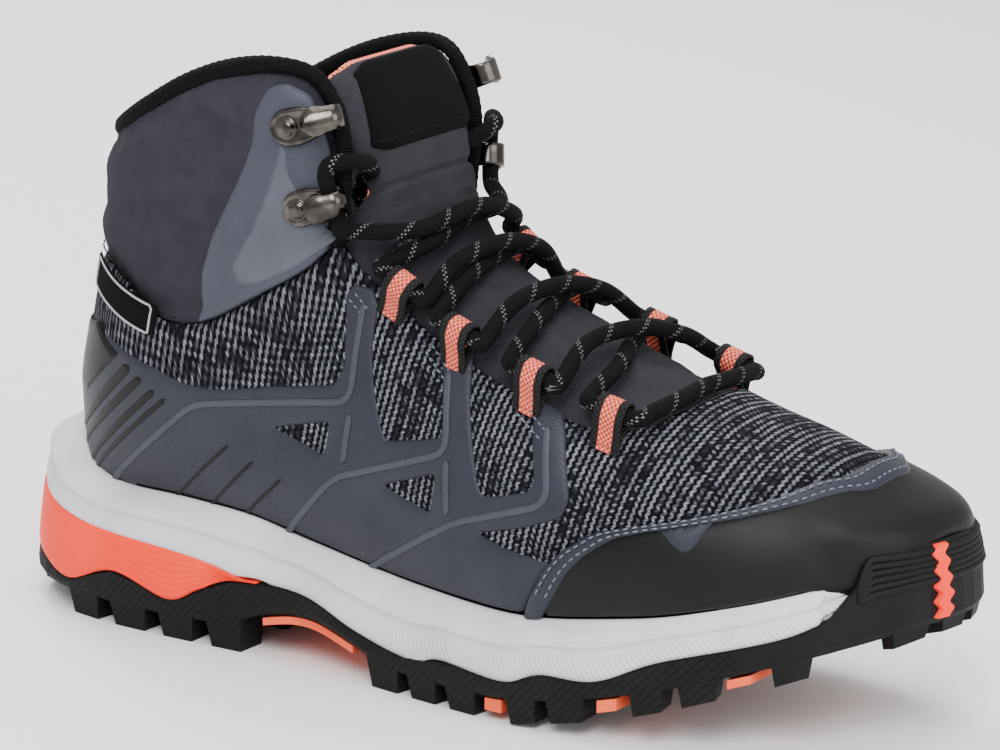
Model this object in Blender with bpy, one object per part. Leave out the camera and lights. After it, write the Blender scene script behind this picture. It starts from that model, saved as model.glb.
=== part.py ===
"""A right-foot mid-cut hiking boot, built as a last-shaped form with every layer laid on it.

Lengths below are millimetres measured from the back of the heel (x forward, y to the medial
side, z up from the lug bottoms); everything is turned into metres, and centred on the sole
length, when a mesh is made.
"""

import bmesh
import bpy
import numpy as np
from mathutils import Vector
from mathutils.geometry import delaunay_2d_cdt

SIZE = 0.95  # the tables are drawn for a 311 mm sole, and this grades them to a 296 mm one
MM = 0.001 * SIZE
ORIGIN = (144.08, 0.68, -0.21)  # bottom centre of the boot's box, in the tables' own frame
GAP = 0.35  # clearance between neighbouring pieces
LACE_RADIUS = 2.4
BINDING_RADIUS = 3.2

# ---- the form: cross-sections from the toe tip to above the collar --------------------------
# Each section runs from a far point (sole or heel side) to a near point (vamp or shin side):
# far x, far z, near x, near z, centre y, half width, belly, far power, near power
SECTIONS = [
    (289.5, 46, 289.5, 54.0, 10.0, 8.0, 0.50, 2.0, 2.0),
    (286.0, 44, 286.0, 61.5, 10.0, 16.5, 0.40, 2.2, 2.0),
    (279.0, 41, 279.0, 69.5, 9.0, 25.5, 0.33, 2.5, 2.0),
    (268.0, 37, 268.0, 77.0, 6.0, 35.0, 0.32, 2.6, 2.0),
    (252.0, 32, 252.0, 83.0, 3.5, 41.5, 0.32, 3.0, 2.0),
    (232.0, 27, 232.0, 88.5, 1.0, 45.0, 0.32, 3.0, 2.1),
    (210.0, 22, 210.0, 95.5, 0.3, 45.5, 0.31, 3.0, 2.2),
    (188.0, 20, 188.0, 103.5, -1.0, 44.5, 0.31, 3.0, 2.3),
    (160.0, 21, 168.0, 111.5, -2.0, 40.5, 0.33, 3.0, 2.4),
    (128.0, 23, 153.0, 119.0, -2.0, 37.0, 0.36, 3.0, 2.5),
    (92.0, 26, 143.0, 126.0, -1.0, 35.5, 0.42, 3.0, 2.7),
    (50.0, 27, 137.0, 132.0, 0.0, 35.5, 0.45, 2.6, 3.1),
    (15.0, 33, 133.5, 138.5, 0.0, 36.5, 0.45, 2.3, 3.5),
    (7.5, 60, 131.0, 145.0, 0.0, 37.5, 0.45, 2.2, 3.9),
    (11.0, 85, 128.5, 152.5, 0.5, 38.5, 0.48, 2.2, 4.2),
    (17.0, 112, 124.5, 162.0, 1.0, 39.5, 0.50, 2.2, 4.2),
    (21.0, 135, 119.0, 172.0, 1.0, 40.0, 0.50, 2.2, 4.0),
    (22.0, 152, 113.0, 181.0, 1.0, 39.5, 0.50, 2.2, 3.8),
    (22.0, 172, 106.0, 191.0, 1.0, 39.0, 0.50, 2.2, 3.6),
]
ROUND = 110  # loop coordinate of the sole and heel centre line; the vamp centre line is 0

# ---- the sole: plan outline, and heights along the length -----------------------------------
SOLE_OUTLINE = [
    (-12, 0), (-8, -16), (5, -29.5), (27, -36.5), (55, -38.5), (82, -38.5), (112, -39.5), (146, -45),
    (180, -49.5), (208, -50.5), (233, -46.5), (256, -38.5), (277.5, -25.5), (293, -8.5), (299, 11),
    (296, 28), (283, 41), (261, 49), (234, 52), (206, 50.5), (178, 46.5), (148, 40.5), (114, 34.5),
    (82, 33), (55, 36), (27, 34.5), (5, 27.5), (-8, 15),
]
LUG_BOTTOM = [(-6, 2), (8, 0), (178, 0), (195, 2), (215, 6), (235, 11.5), (252, 17), (270, 23), (295, 33)]
PLATE_BOTTOM = [
    (-6, 9), (8, 7), (72, 7), (90, 12), (108, 15), (126, 11), (142, 6.5), (178, 6.5), (195, 8.5),
    (215, 12.5), (235, 17.5), (252, 22.5), (270, 28), (295, 36),
]
PLATE = 3.5
OUTSOLE_EDGE = [
    (-6, 17), (3, 15), (18, 11), (37, 17), (58, 12), (70, 17), (83, 22), (107, 22), (128, 15.5),
    (151, 11.5), (162, 14), (185, 12.5), (198, 17), (216, 18), (235, 26), (264, 34), (275, 39),
    (284, 45), (295, 48),
]
INSERT_TOP = [(-6, 39), (4, 34), (20, 30.5), (40, 28.5), (62, 27), (76, 25), (84, 23), (92, 22)]
FEATHER = [
    (-6, 56), (4, 52), (14, 45), (33, 41), (60, 41), (85, 40), (107, 36), (144, 31), (184, 30),
    (226, 36), (253, 42), (276, 48), (295, 52),
]
BUMPER_TOP = 59.0


def curve_through(points, t, closed=False):
    """Catmull-Rom curve through the points, t running 0..1 over them all."""
    p = np.asarray(points, float)
    n = len(p)
    t = np.asarray(t, float)
    if closed:
        s = (t % 1.0) * n
        i = np.floor(s).astype(int)
        f = (s - i)[:, None]
        a, b, c, d = (p[(i + k) % n] for k in (-1, 0, 1, 2))
    else:
        q = np.vstack([2 * p[0] - p[1], p, 2 * p[-1] - p[-2]])
        s = np.clip(t, 0, 1) * (n - 1)
        i = np.minimum(np.floor(s).astype(int), n - 2)
        f = (s - i)[:, None]
        a, b, c, d = (q[i + k] for k in range(4))
    return 0.5 * (2 * b + (c - a) * f + (2 * a - 5 * b + 4 * c - d) * f**2 + (3 * b - a - 3 * c + d) * f**3)


def along(table, x):
    """The height that a table of (x, value) pairs gives at x, smoothed between its points."""
    t = np.asarray(table, float)
    fine = curve_through(t, np.linspace(0, 1, 12 * len(t)))
    return np.interp(x, fine[:, 0], fine[:, 1])


class Form:
    """The outer face of the upper as a surface of U (mm, toe to collar) and C (loop, 0 at the vamp)."""

    def __init__(self, n_u=181, n_c=220, n_s=160):
        self.n_c = n_c
        rows = curve_through(SECTIONS, np.linspace(0, 1, n_u))
        s = 0.5 - 0.5 * np.cos(np.linspace(0, np.pi, n_s))
        self.far, self.near = rows[:, 0:2], rows[:, 2:4]
        far_step = np.linalg.norm(np.diff(self.far, axis=0), axis=1)
        near_step = np.linalg.norm(np.diff(self.near, axis=0), axis=1)
        self.u = np.concatenate([[0], np.cumsum(0.75 * far_step + 0.25 * near_step)])
        self.grid = np.zeros((n_u, n_c, 3))
        self.table = []
        c = np.arange(n_c) * (2 * ROUND / n_c) - ROUND
        for k, (fx, fz, nx, nz, yc, w, b, pf, pn) in enumerate(rows):
            low = np.clip(1 - np.abs(1 - s / b) ** pf, 0, 1) ** (1 / pf)
            high = np.clip(1 - np.abs((s - b) / (1 - b)) ** pn, 0, 1) ** (1 / pn)
            y = w * np.where(s < b, low, high)
            x, z = fx + (nx - fx) * s, fz + (nz - fz) * s
            steps = np.sqrt(np.diff(x) ** 2 + np.diff(y) ** 2 + np.diff(z) ** 2)
            arc = np.concatenate([[0], np.cumsum(steps)])
            v = arc / arc[-1]
            at = 1 - np.abs(c) / ROUND
            self.grid[k, :, 0] = np.interp(at, v, x)
            self.grid[k, :, 1] = np.interp(at, v, y) * np.sign(c) + yc
            self.grid[k, :, 2] = np.interp(at, v, z)
            self.table.append((s, v))
        du = np.gradient(self.grid, self.u, axis=0)
        dc = (np.roll(self.grid, -1, axis=1) - np.roll(self.grid, 1, axis=1)) * (n_c / (4 * ROUND))
        n = np.cross(dc, du)
        n /= np.linalg.norm(n, axis=2, keepdims=True) + 1e-9
        middle = self.grid.mean(axis=1, keepdims=True)
        if ((self.grid - middle) * n).sum() < 0:
            n = -n
        self.normal = n

    def sample(self, what, u, c):
        i = np.interp(u, self.u, np.arange(len(self.u)))
        j = ((np.asarray(c, float) + ROUND) % (2 * ROUND)) * self.n_c / (2 * ROUND)
        i0 = np.clip(np.floor(i).astype(int), 0, len(self.u) - 2)
        j0 = np.floor(j).astype(int)
        f, g = (i - i0)[:, None], (j - j0)[:, None]
        j0, j1 = j0 % self.n_c, (j0 + 1) % self.n_c
        return (what[i0, j0] * (1 - f) + what[i0 + 1, j0] * f) * (1 - g) + (
            what[i0, j1] * (1 - f) + what[i0 + 1, j1] * f
        ) * g

    def at(self, u, c, offset=0.0):
        u, c = np.atleast_1d(np.asarray(u, float)), np.atleast_1d(np.asarray(c, float))
        u, c = np.broadcast_arrays(u, c)
        n = self.sample(self.normal, u, c)
        n = n / np.linalg.norm(n, axis=1, keepdims=True)
        return self.sample(self.grid, u, c) + n * np.broadcast_to(offset, u.shape)[:, None]

    def side_view(self, x, z, medial=False):
        """(U, C) of the point of one side that shows at (x, z) seen from that side."""
        d = self.near - self.far
        cross = d[:, 0] * (z - self.far[:, 1]) - d[:, 1] * (x - self.far[:, 0])
        hits = np.nonzero(np.sign(cross[:-1]) != np.sign(cross[1:]))[0]
        best = None
        for k in hits:
            f = cross[k] / (cross[k] - cross[k + 1])
            far = self.far[k] * (1 - f) + self.far[k + 1] * f
            near = self.near[k] * (1 - f) + self.near[k + 1] * f
            span = near - far
            s = ((x - far[0]) * span[0] + (z - far[1]) * span[1]) / (span**2).sum()
            if best is None or abs(s - 0.5) < abs(best[0] - 0.5):
                best = (s, self.u[k] * (1 - f) + self.u[k + 1] * f, k)
        if best is None:
            raise ValueError(f"({x}, {z}) is off the form")
        s, u, k = best
        v = np.interp(np.clip(s, 0, 1), *self.table[k])
        return u, (1 - v) * ROUND * (1 if medial else -1)


FORM = Form()
CREST = np.concatenate([[0], np.cumsum(np.linalg.norm(np.diff(FORM.near, axis=0), axis=1))])


def up(u, mm):
    """U of the point mm further along the vamp and shin centre line than u."""
    return float(np.interp(np.interp(u, FORM.u, CREST) + mm, CREST, FORM.u))


def lateral(*points):
    return [FORM.side_view(x, z) for x, z in points]


def medial(*points):
    return [FORM.side_view(x, z, True) for x, z in points]


# ==== meshes =====================================================================================
for old in list(bpy.data.objects):
    bpy.data.objects.remove(old)


def material(name, colour, roughness, metallic=0.0):
    made = bpy.data.materials.new(name)
    made.use_nodes = True
    shader = made.node_tree.nodes["Principled BSDF"]
    shader.inputs["Base Color"].default_value = (*colour, 1)
    shader.inputs["Roughness"].default_value = roughness
    shader.inputs["Metallic"].default_value = metallic
    made.diffuse_color = (*colour, 1)
    return made


def linear(*srgb):
    return tuple(v / 12.92 if v <= 0.04045 else ((v + 0.055) / 1.055) ** 2.4 for v in srgb)


LOOKS = {
    "rubber_black": (linear(0.11, 0.11, 0.12), 0.75, 0),
    "foam_grey": (linear(0.80, 0.79, 0.81), 0.65, 0),
    "coral": (linear(0.97, 0.46, 0.36), 0.6, 0),
    "film_slate": (linear(0.29, 0.31, 0.37), 0.42, 0),
    "film_pale": (linear(0.37, 0.40, 0.46), 0.38, 0),
    "knit_grey": (linear(0.24, 0.25, 0.30), 0.95, 0),
    "softshell": (linear(0.30, 0.29, 0.33), 0.9, 0),
    "cap_black": (linear(0.15, 0.15, 0.15), 0.5, 0),
    "lining_grey": (linear(0.35, 0.35, 0.37), 0.95, 0),
    "webbing_coral": (linear(0.95, 0.58, 0.50), 0.85, 0),
    "braid_black": (linear(0.12, 0.12, 0.12), 0.85, 0),
    "nickel": (linear(0.50, 0.47, 0.45), 0.3, 1),
    "board": (linear(0.75, 0.72, 0.65), 0.9, 0),
}
MATERIALS = {name: material(name, *look) for name, look in LOOKS.items()}


def add(name, points, faces, look, smooth=True):
    """A mesh object from points in millimetres and faces of any size."""
    mesh = bpy.data.meshes.new(name)
    p = np.asarray(points, float) - ORIGIN
    mesh.from_pydata([tuple(v) for v in p * MM], [], [tuple(int(i) for i in f) for f in faces])
    shaped = bmesh.new()
    shaped.from_mesh(mesh)
    bmesh.ops.triangulate(shaped, faces=shaped.faces[:])
    bmesh.ops.recalc_face_normals(shaped, faces=shaped.faces[:])
    if shaped.calc_volume(signed=True) < 0:
        bmesh.ops.reverse_faces(shaped, faces=shaped.faces[:])
    shaped.to_mesh(mesh)
    shaped.free()
    for face in mesh.polygons:
        face.use_smooth = smooth
    obj = bpy.data.objects.new(name, mesh)
    obj.data.materials.append(MATERIALS[look])
    bpy.context.scene.collection.objects.link(obj)
    return obj


def ladder(n, mirror):
    """Faces that fill a long ring crosswise, each point joined to its partner on the other side."""
    faces = []
    for k in range(n):
        a, b, c, d = k, (k + 1) % n, (mirror - k - 1) % n, (mirror - k) % n
        corners = list(dict.fromkeys((a, b, c, d)))
        if len(corners) > 2 and min(a, b) <= min(c, d) and (a, b) < (d, c):
            faces.append(tuple(corners))
    return faces


def loft(rings, closed=False, mirror=None):
    """(points, faces) of equal rings joined in order, with the end rings filled or joined to each other."""
    n = len(rings[0])
    points = np.vstack(rings)
    faces = []
    pairs = [(k, k + 1) for k in range(len(rings) - 1)]
    if closed:
        pairs.append((len(rings) - 1, 0))
    for a, b in pairs:
        for i in range(n):
            j = (i + 1) % n
            faces.append((a * n + i, a * n + j, b * n + j, b * n + i))
    if not closed:
        ends = [tuple(range(n))] if mirror is None else ladder(n, mirror)
        faces += [f[::-1] for f in ends]
        faces += [tuple(i + (len(rings) - 1) * n for i in f) for f in ends]
    return points, faces


def inside(points, polygon):
    x, y = points[:, 0], points[:, 1]
    hit = np.zeros(len(points), bool)
    for (ax, ay), (bx, by) in zip(polygon, np.roll(polygon, -1, axis=0)):
        cut = (ay > y) != (by > y)
        hit ^= cut & (x < (bx - ax) * (y - ay) / np.where(by == ay, 1e-12, by - ay) + ax)
    return hit


def edge_distance(points, polygon):
    best = np.full(len(points), 1e9)
    for a, b in zip(polygon, np.roll(polygon, -1, axis=0)):
        d = b - a
        t = np.clip(((points - a) @ d) / max(d @ d, 1e-12), 0, 1)
        best = np.minimum(best, np.linalg.norm(points - a - t[:, None] * d, axis=1))
    return best


def divided(outline, step):
    """The outline with points added so that no edge is longer than step."""
    outline = np.asarray(outline, float)
    out = []
    for a, b in zip(outline, np.roll(outline, -1, axis=0)):
        n = max(1, int(np.ceil(np.linalg.norm(b - a) / step)))
        out += [a + (b - a) * k / n for k in range(n)]
    return np.array(out)


def rounded(points, radius=3.0, n=3):
    """A closed outline with each corner cut by a short curve."""
    p = np.asarray(points, float)
    out = []
    for k in range(len(p)):
        a, b, c = p[k - 1], p[k], p[(k + 1) % len(p)]
        r1 = min(radius, np.linalg.norm(a - b) * 0.45)
        r2 = min(radius, np.linalg.norm(c - b) * 0.45)
        s = b + (a - b) / max(np.linalg.norm(a - b), 1e-9) * r1
        e = b + (c - b) / max(np.linalg.norm(c - b), 1e-9) * r2
        for t in np.linspace(0, 1, n):
            out.append((1 - t) ** 2 * s + 2 * t * (1 - t) * b + t**2 * e)
    return np.array(out)


def patch(name, outline, low, high, look, step=10.0, holes=()):
    """A sheet cut to an outline in (U, C) and laid on the form between two offsets from it.

    The points inside the outline stand on one lattice for every sheet, so that stacked sheets bend alike.
    """
    loops = [divided(outline, step)] + [divided(h, step) for h in holes]
    lo, hi = loops[0].min(axis=0), loops[0].max(axis=0)
    rows = range(int(lo[0] / step / 0.87), int(hi[0] / step / 0.87) + 2)
    columns = range(int(np.floor(lo[1] / step)) - 1, int(hi[1] / step) + 2)
    inner = np.array([(k * step * 0.87, (m + (k % 2) / 2) * step) for k in rows for m in columns])
    keep = inside(inner, loops[0]) & (edge_distance(inner, loops[0]) > step * 0.45)
    for hole in loops[1:]:
        keep &= ~inside(inner, hole) & (edge_distance(inner, hole) > step * 0.45)
    verts = np.vstack(loops + [inner[keep]])
    edges, start = [], 0
    for loop in loops:
        n = len(loop)
        edges += [(start + k, start + (k + 1) % n) for k in range(n)]
        start += n
    cut = delaunay_2d_cdt([Vector(v) for v in verts], edges, [], 0, 1e-5)
    flat = np.array([tuple(v) for v in cut[0]])
    tris = np.array([tuple(f) for f in cut[2]])
    centre = flat[tris].mean(axis=1)
    keep = inside(centre, loops[0])
    for hole in loops[1:]:
        keep &= ~inside(centre, hole)
    tris = tris[keep]
    used = np.unique(tris)
    index = np.full(len(flat), -1)
    index[used] = np.arange(len(used))
    flat, tris = flat[used], index[tris]
    n = len(flat)
    low = low(flat[:, 0], flat[:, 1]) if callable(low) else low
    high = high(flat[:, 0], flat[:, 1]) if callable(high) else high
    points = np.vstack([FORM.at(flat[:, 0], flat[:, 1], high), FORM.at(flat[:, 0], flat[:, 1], low)])
    sides = {}
    for a, b, c in tris:
        for e in ((a, b), (b, c), (c, a)):
            sides[e] = True
    rim = [e for e in sides if (e[1], e[0]) not in sides]
    faces = [tuple(t) for t in tris] + [(c + n, b + n, a + n) for a, b, c in tris]
    faces += [(b, a, a + n, b + n) for a, b in rim]
    return add(name, points, faces, look)


def strip(path, across, widths, thickness):
    """(points, faces) of a flat strip swept along a path; across is its width direction at each point."""
    path = np.asarray(path, float)
    across = np.asarray(across, float)
    across = across / np.linalg.norm(across, axis=1, keepdims=True)
    run = np.gradient(path, axis=0)
    normal = np.cross(run, across)
    normal /= np.linalg.norm(normal, axis=1, keepdims=True)
    half = across * np.asarray(widths, float)[:, None] / 2
    t = normal * thickness / 2
    rings = [np.array([p - h - n, p + h - n, p + h + n, p - h + n]) for p, h, n in zip(path, half, t)]
    return loft(rings)


def tube(name, points, radius, look, radii=None, sides=2):
    data = bpy.data.curves.new(name, "CURVE")
    data.dimensions = "3D"
    data.bevel_depth = radius * MM
    data.bevel_resolution = sides
    data.use_fill_caps = True
    spline = data.splines.new("POLY")
    spline.points.add(len(points) - 1)
    for k, p in enumerate(points):
        spline.points[k].co = (*((np.asarray(p) - ORIGIN) * MM), 1)
        spline.points[k].radius = 1.0 if radii is None else radii[k] / radius
    obj = bpy.data.objects.new(name, data)
    obj.data.materials.append(MATERIALS[look])
    bpy.context.scene.collection.objects.link(obj)
    return obj


# ==== sole unit ==================================================================================
RING_T = np.linspace(0, 1, 84, endpoint=False)


def outline_ring(inset, height, t=RING_T):
    """The sole outline moved inwards by inset, at heights given as a number or a table over x."""
    p = curve_through(SOLE_OUTLINE, t, True)
    d = curve_through(SOLE_OUTLINE, t + 1e-3, True) - curve_through(SOLE_OUTLINE, t - 1e-3, True)
    n = np.stack([-d[:, 1], d[:, 0]], axis=1)
    n /= np.linalg.norm(n, axis=1, keepdims=True)
    q = p + n * np.broadcast_to(inset, len(p))[:, None]
    z = along(height, p[:, 0]) if isinstance(height, list) else np.broadcast_to(height, len(p))
    return np.column_stack([q, z])


def bumper(t=RING_T):
    """0..1: how far the outsole's wall has risen into the toe bumper."""
    p = curve_through(SOLE_OUTLINE, t, True)
    angle = np.degrees(np.arctan2(p[:, 1] - 6, p[:, 0] - 245))
    rise = np.clip((44 - np.abs(angle - 6)) / 9, 0, 1)
    return rise * rise * (3 - 2 * rise)


def wall_top(t=RING_T):
    edge = outline_ring(0, OUTSOLE_EDGE, t)[:, 2]
    return edge + (BUMPER_TOP - edge) * bumper(t)


def heel_lean(t=RING_T):
    """Inset of the sole's upper rim at the back, where the wall leans in over the heel."""
    p = curve_through(SOLE_OUTLINE, t, True)
    return 7.5 * np.clip((34 - p[:, 0]) / 46, 0, 1) ** 1.5


def lug_block(t0, t1, near, far, foot=0.8):
    """(points, faces) of one drafted lug between two outline parameters and two insets."""
    top, bottom = [], []
    for t, inset in ((t0, near), (t1, near), (t1, far), (t0, far)):
        top.append(outline_ring(inset, PLATE_BOTTOM, np.array([t]))[0] + (0, 0, 1.4))
    middle = np.mean(top, axis=0)
    for p in top:
        q = middle + (p - middle) * foot
        bottom.append((q[0], q[1], along(LUG_BOTTOM, q[0])))
    return loft([np.array(bottom), np.array(top)])


def t_at(x, medial_side=False):
    """The outline parameter where one side of the sole passes x."""
    t = np.linspace(0, 1, 2001)[:-1]
    p = curve_through(SOLE_OUTLINE, t, True)
    half = (t > 0.5) if medial_side else (t <= 0.5)
    return t[half][np.argmin(np.abs(p[half, 0] - x))]


def wall_inset(z, t=RING_T):
    """How far the sole's side wall leans in at height z: at the heel, and at the top of the bumper."""
    return heel_lean(t) * np.clip((z - 10) / 46, 0, 1) + bumper(t) * np.clip(z - 46, 0, None) * 0.22


def wall_ring(inset, z, t=RING_T):
    return outline_ring(inset + wall_inset(z, t), z, t)


def plate_z(t=RING_T, above=0.0):
    return outline_ring(0, PLATE_BOTTOM, t)[:, 2] + above


def union(target, name, points, faces):
    """Joins a closed mesh to the target and leaves nothing else behind."""
    other = add(name, points, faces, "rubber_black", smooth=False)
    joint = target.modifiers.new("join", "BOOLEAN")
    joint.operation = "UNION"
    joint.solver = "EXACT"
    joint.object = other
    graph = bpy.context.evaluated_depsgraph_get()
    merged = bpy.data.meshes.new_from_object(target.evaluated_get(graph))
    target.modifiers.clear()
    target.data = merged
    bpy.data.objects.remove(other)


EDGE_LUGS = [
    (17, 30), (35, 49), (54, 67), (72, 85), (133, 145.5), (149, 160), (163.5, 175), (186, 196.5),
    (200, 212.5), (226, 236), (240, 251), (264, 274),
]
INSERT_X = (180.5, 219.0, 256.0)
EDGE_LUG_DEPTH = 13.0

outsole = add(
    "outsole",
    *loft([
        wall_ring(5.0, plate_z()),
        wall_ring(1.2, plate_z(above=0.4)),
        wall_ring(0.0, plate_z(above=2.4)),
        wall_ring(0.0, (plate_z(above=2.4) + wall_top()) / 2),
        wall_ring(0.2, wall_top() - 0.5),
        wall_ring(0.8, wall_top()),
        wall_ring(2.5, wall_top()),
        wall_ring(2.6, (plate_z(above=PLATE) + wall_top()) / 2),
        wall_ring(2.8, plate_z(above=PLATE)),
    ], mirror=0),
    "rubber_black",
)
lug_points, lug_faces = [], []


def keep_lug(points, faces):
    base = sum(len(p) for p in lug_points)
    lug_points.append(points)
    lug_faces.extend([tuple(i + base for i in f) for f in faces])


for x0, x1 in EDGE_LUGS:
    depth = EDGE_LUG_DEPTH if x0 < 255 else 8.0
    keep_lug(*lug_block(t_at(x0), t_at(x1), 0.6, depth))
    keep_lug(*lug_block(t_at(x1, True), t_at(x0, True), 0.6, depth))
for t0 in (-0.035, -0.01, 0.015, 0.456, 0.485, 0.514):
    keep_lug(*lug_block(t0, t0 + 0.021, 0.8, 10.5))
for x0, x1 in EDGE_LUGS[:-1]:
    for y0, y1 in ((-22.0, -9.0), (-3.5, 9.5)) if x0 > 120 else ((-14.0, -2.5), (2.5, 14.0)):
        shift = 2.0 if x0 > 120 else 0.0
        corners = [(x0 + 1, y0 + shift), (x1 - 1, y0 + shift), (x1 - 1, y1 + shift), (x0 + 1, y1 + shift)]
        top = np.array([(x, y, along(PLATE_BOTTOM, x) + 1.4) for x, y in corners])
        low = top.mean(axis=0) + (top - top.mean(axis=0)) * 0.8
        low[:, 2] = along(LUG_BOTTOM, low[:, 0]) + 0.6
        keep_lug(*loft([low, top]))
union(outsole, "lugs", np.vstack(lug_points), lug_faces)

near_bumper = np.maximum.reduce([bumper(), np.roll(bumper(), 1), np.roll(bumper(), -1)]) > 0.01
ring_x = outline_ring(0, 0.0)[:, 0]
feather = outline_ring(5.0, FEATHER)[:, 2]
low_edge = np.minimum(wall_top(), feather - 2.4)
in_heel = ring_x < 93
step_in = np.where(near_bumper, 3.2, np.where(in_heel, 2.2, 0.2))
face_in = np.where(near_bumper, 3.2, 0.2)
shelf = np.where(in_heel, np.maximum(along(INSERT_TOP, ring_x), low_edge + 1.2), low_edge + 0.5)


def floor_z(x):
    """The underside of the foot space along the length."""
    far = np.array([(s[0], s[1]) for s in SECTIONS[:13]])[::-1]
    return np.interp(x, far[:, 0], far[:, 1])


midsole = add(
    "midsole",
    *loft([
        wall_ring(3.2, plate_z(above=PLATE + GAP)),
        wall_ring(3.2, low_edge + GAP - 0.1),
        wall_ring(step_in, low_edge + GAP),
        wall_ring(step_in, shelf),
        wall_ring(face_in, shelf + 0.5),
        wall_ring(face_in - 0.4 * ~near_bumper, (shelf + feather) / 2),
        wall_ring(face_in + 0.6, feather - 1.0),
        wall_ring(face_in + 1.2, feather),
        wall_ring(face_in + 2.2, feather),
        wall_ring(np.where(near_bumper, 6.5, 5.8), floor_z(outline_ring(6.0, 0.0)[:, 0]) - 1.0),
    ], mirror=0),
    "foam_grey",
)


def side_band(name, t, top, bottom, outer, inner, look):
    """A band laid along the sole's side wall, between two heights and two insets."""
    rings = []
    for k in range(len(t)):
        one = t[k : k + 1]
        rings.append(np.vstack([
            wall_ring(outer, np.array([bottom[k]]), one),
            wall_ring(outer, np.array([(top[k] + bottom[k]) / 2]), one),
            wall_ring(outer, np.array([top[k]]), one),
            wall_ring(inner, np.array([top[k]]), one),
            wall_ring(inner, np.array([(top[k] + bottom[k]) / 2]), one),
            wall_ring(inner, np.array([bottom[k]]), one),
        ]))
    return add(name, *loft(rings), look)


ahead = np.nonzero(ring_x > 90)[0]
band_t = np.concatenate([RING_T[ahead[-1] + 1 :] - 1, RING_T[: ahead[0]]])
band_x = outline_ring(0, 0.0, band_t)[:, 0]
band_low = wall_top(band_t) + GAP
band_top = np.maximum(along(INSERT_TOP, band_x) - GAP, band_low + 0.4)
side_band("heel_insert", band_t, band_top, band_low, -0.5, 1.7, "coral")

stripe_t = t_at(296.9)
stripe = np.linspace(stripe_t - 0.006, stripe_t + 0.012, 5)
side_band("toe_stripe", stripe, np.full(5, 58.0), np.full(5, 39.0), -1.5, -GAP, "coral")


def cross_bar(name, x0, x1, inset, top, bottom, look, n=5):
    """A slab across the sole between two positions along it, up to an inset from both edges."""
    xs = np.linspace(x0, x1, n)
    rim = [outline_ring(inset, 0.0, np.array([t_at(x)]))[0, :2] for x in xs]
    rim += [outline_ring(inset, 0.0, np.array([t_at(x, True)]))[0, :2] for x in xs[::-1]]
    rim = np.array(rim)
    low = np.column_stack([rim, [bottom(x) for x in rim[:, 0]]])
    high = np.column_stack([rim, [top(x) for x in rim[:, 0]]])
    return add(name, *loft([low, high]), look, smooth=False)


cross_bar(
    "arch_plate", 92, 126, 2.0, lambda x: along(PLATE_BOTTOM, x) - 2 * GAP,
    lambda x: along(PLATE_BOTTOM, x) - 3.0, "coral", n=21,
)
for k, x in enumerate(INSERT_X):
    cross_bar(
        f"forefoot_insert_{k + 1}", x - 3, x + 3, 2.0, lambda x: along(PLATE_BOTTOM, x) - GAP,
        lambda x: along(LUG_BOTTOM, x) + 2.5, "coral", n=2,
    )


def foot_ring(height, inset, n=22):
    """The form's outline in plan at a height above the foot floor, moved in by inset."""
    xs = 150.5 - 133.5 * np.cos(np.linspace(0, np.pi, n))
    side = []
    for is_medial in (False, True):
        row = [FORM.at(*FORM.side_view(x, floor_z(x) + height, is_medial))[0] for x in xs]
        side.append(np.array(row)[:, :2])
    ring = np.vstack([side[0], side[1][::-1]])
    centre = np.column_stack([np.clip(ring[:, 0], 45, 250), np.zeros(len(ring))])
    d = ring - centre
    ring = ring - d / np.linalg.norm(d, axis=1, keepdims=True) * inset
    rim = wall_ring(8.0, 40.0)
    half = len(RING_T) // 2
    low = np.interp(ring[:, 0], rim[: half + 1, 0], rim[: half + 1, 1])
    high = np.interp(ring[:, 0], rim[half:, 0][::-1], rim[half:, 1][::-1])
    ring[:, 1] = np.clip(ring[:, 1], low, high)
    return ring


def insole(name, low, high, inset, look):
    ring = foot_ring(4.0, inset)
    z = floor_z(ring[:, 0])
    rings = [np.column_stack([ring, z + low]), np.column_stack([ring, z + high])]
    return add(name, *loft(rings, mirror=-1), look)


insole("insole_board", -0.6, 0.8, 4.5, "board")
insole("footbed", 1.2, 4.6, 9.5, "lining_grey")


# ==== upper ======================================================================================
# Offsets from the form of each layer's inner and outer face
KNIT = (-1.6, 0.0)
FILM = (1.7, 2.4)
CAP = (1.7, 2.4)
TRIM = (2.9, 3.6)
FOAM = (-5.6, -2.9)
LINING = (-8.0, -6.9)
TONGUE = (-6.2, -2.3)


def station(k):
    """U of a section, counted from the toe tip; halves lie between sections."""
    return float(np.interp(k, np.linspace(0, len(SECTIONS) - 1, len(FORM.u)), FORM.u))


def mirrored(points):
    return [(u, -c) for u, c in points]


def bottom_edge(above, x_from, x_to, n):
    """The lateral (U, C) line at a height above the featherline."""
    xs = np.linspace(x_from, x_to, n)
    return [FORM.side_view(x, float(along(FEATHER, x)) + above) for x in xs]


MEDIAL_DROP = 7.0  # in U; about 6 mm of height
COLLAR = [
    (station(16.62), -110), (station(16.64), -98), (station(16.72), -84), (station(16.92), -70),
    (station(17.15), -56), (station(17.22), -44), (station(17.15), -35), (station(16.9), -28.5),
    (station(16.4), -24.5), (station(15.6), -22.5),
]
THROAT = [
    (station(15.6), -22.5), (station(14.5), -22), (station(13.2), -22), (station(12.2), -22.5),
    (station(11.2), -23.5), (station(10.2), -24.5), (station(9.2), -26), (station(8.2), -27),
    (station(7.2), -28), (station(6.4), -28), (station(5.95), -26), (station(5.6), -20),
    (station(5.42), -10), (station(5.38), 0),
]
CUFF_SEAM = lateral((22, 117), (34, 109), (48, 100.5), (60, 96.5), (74, 99), (92, 109), (108, 118.5))
CUFF_SEAM += [(station(12.25), -25.5), (station(11.95), -22.6)]


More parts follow.
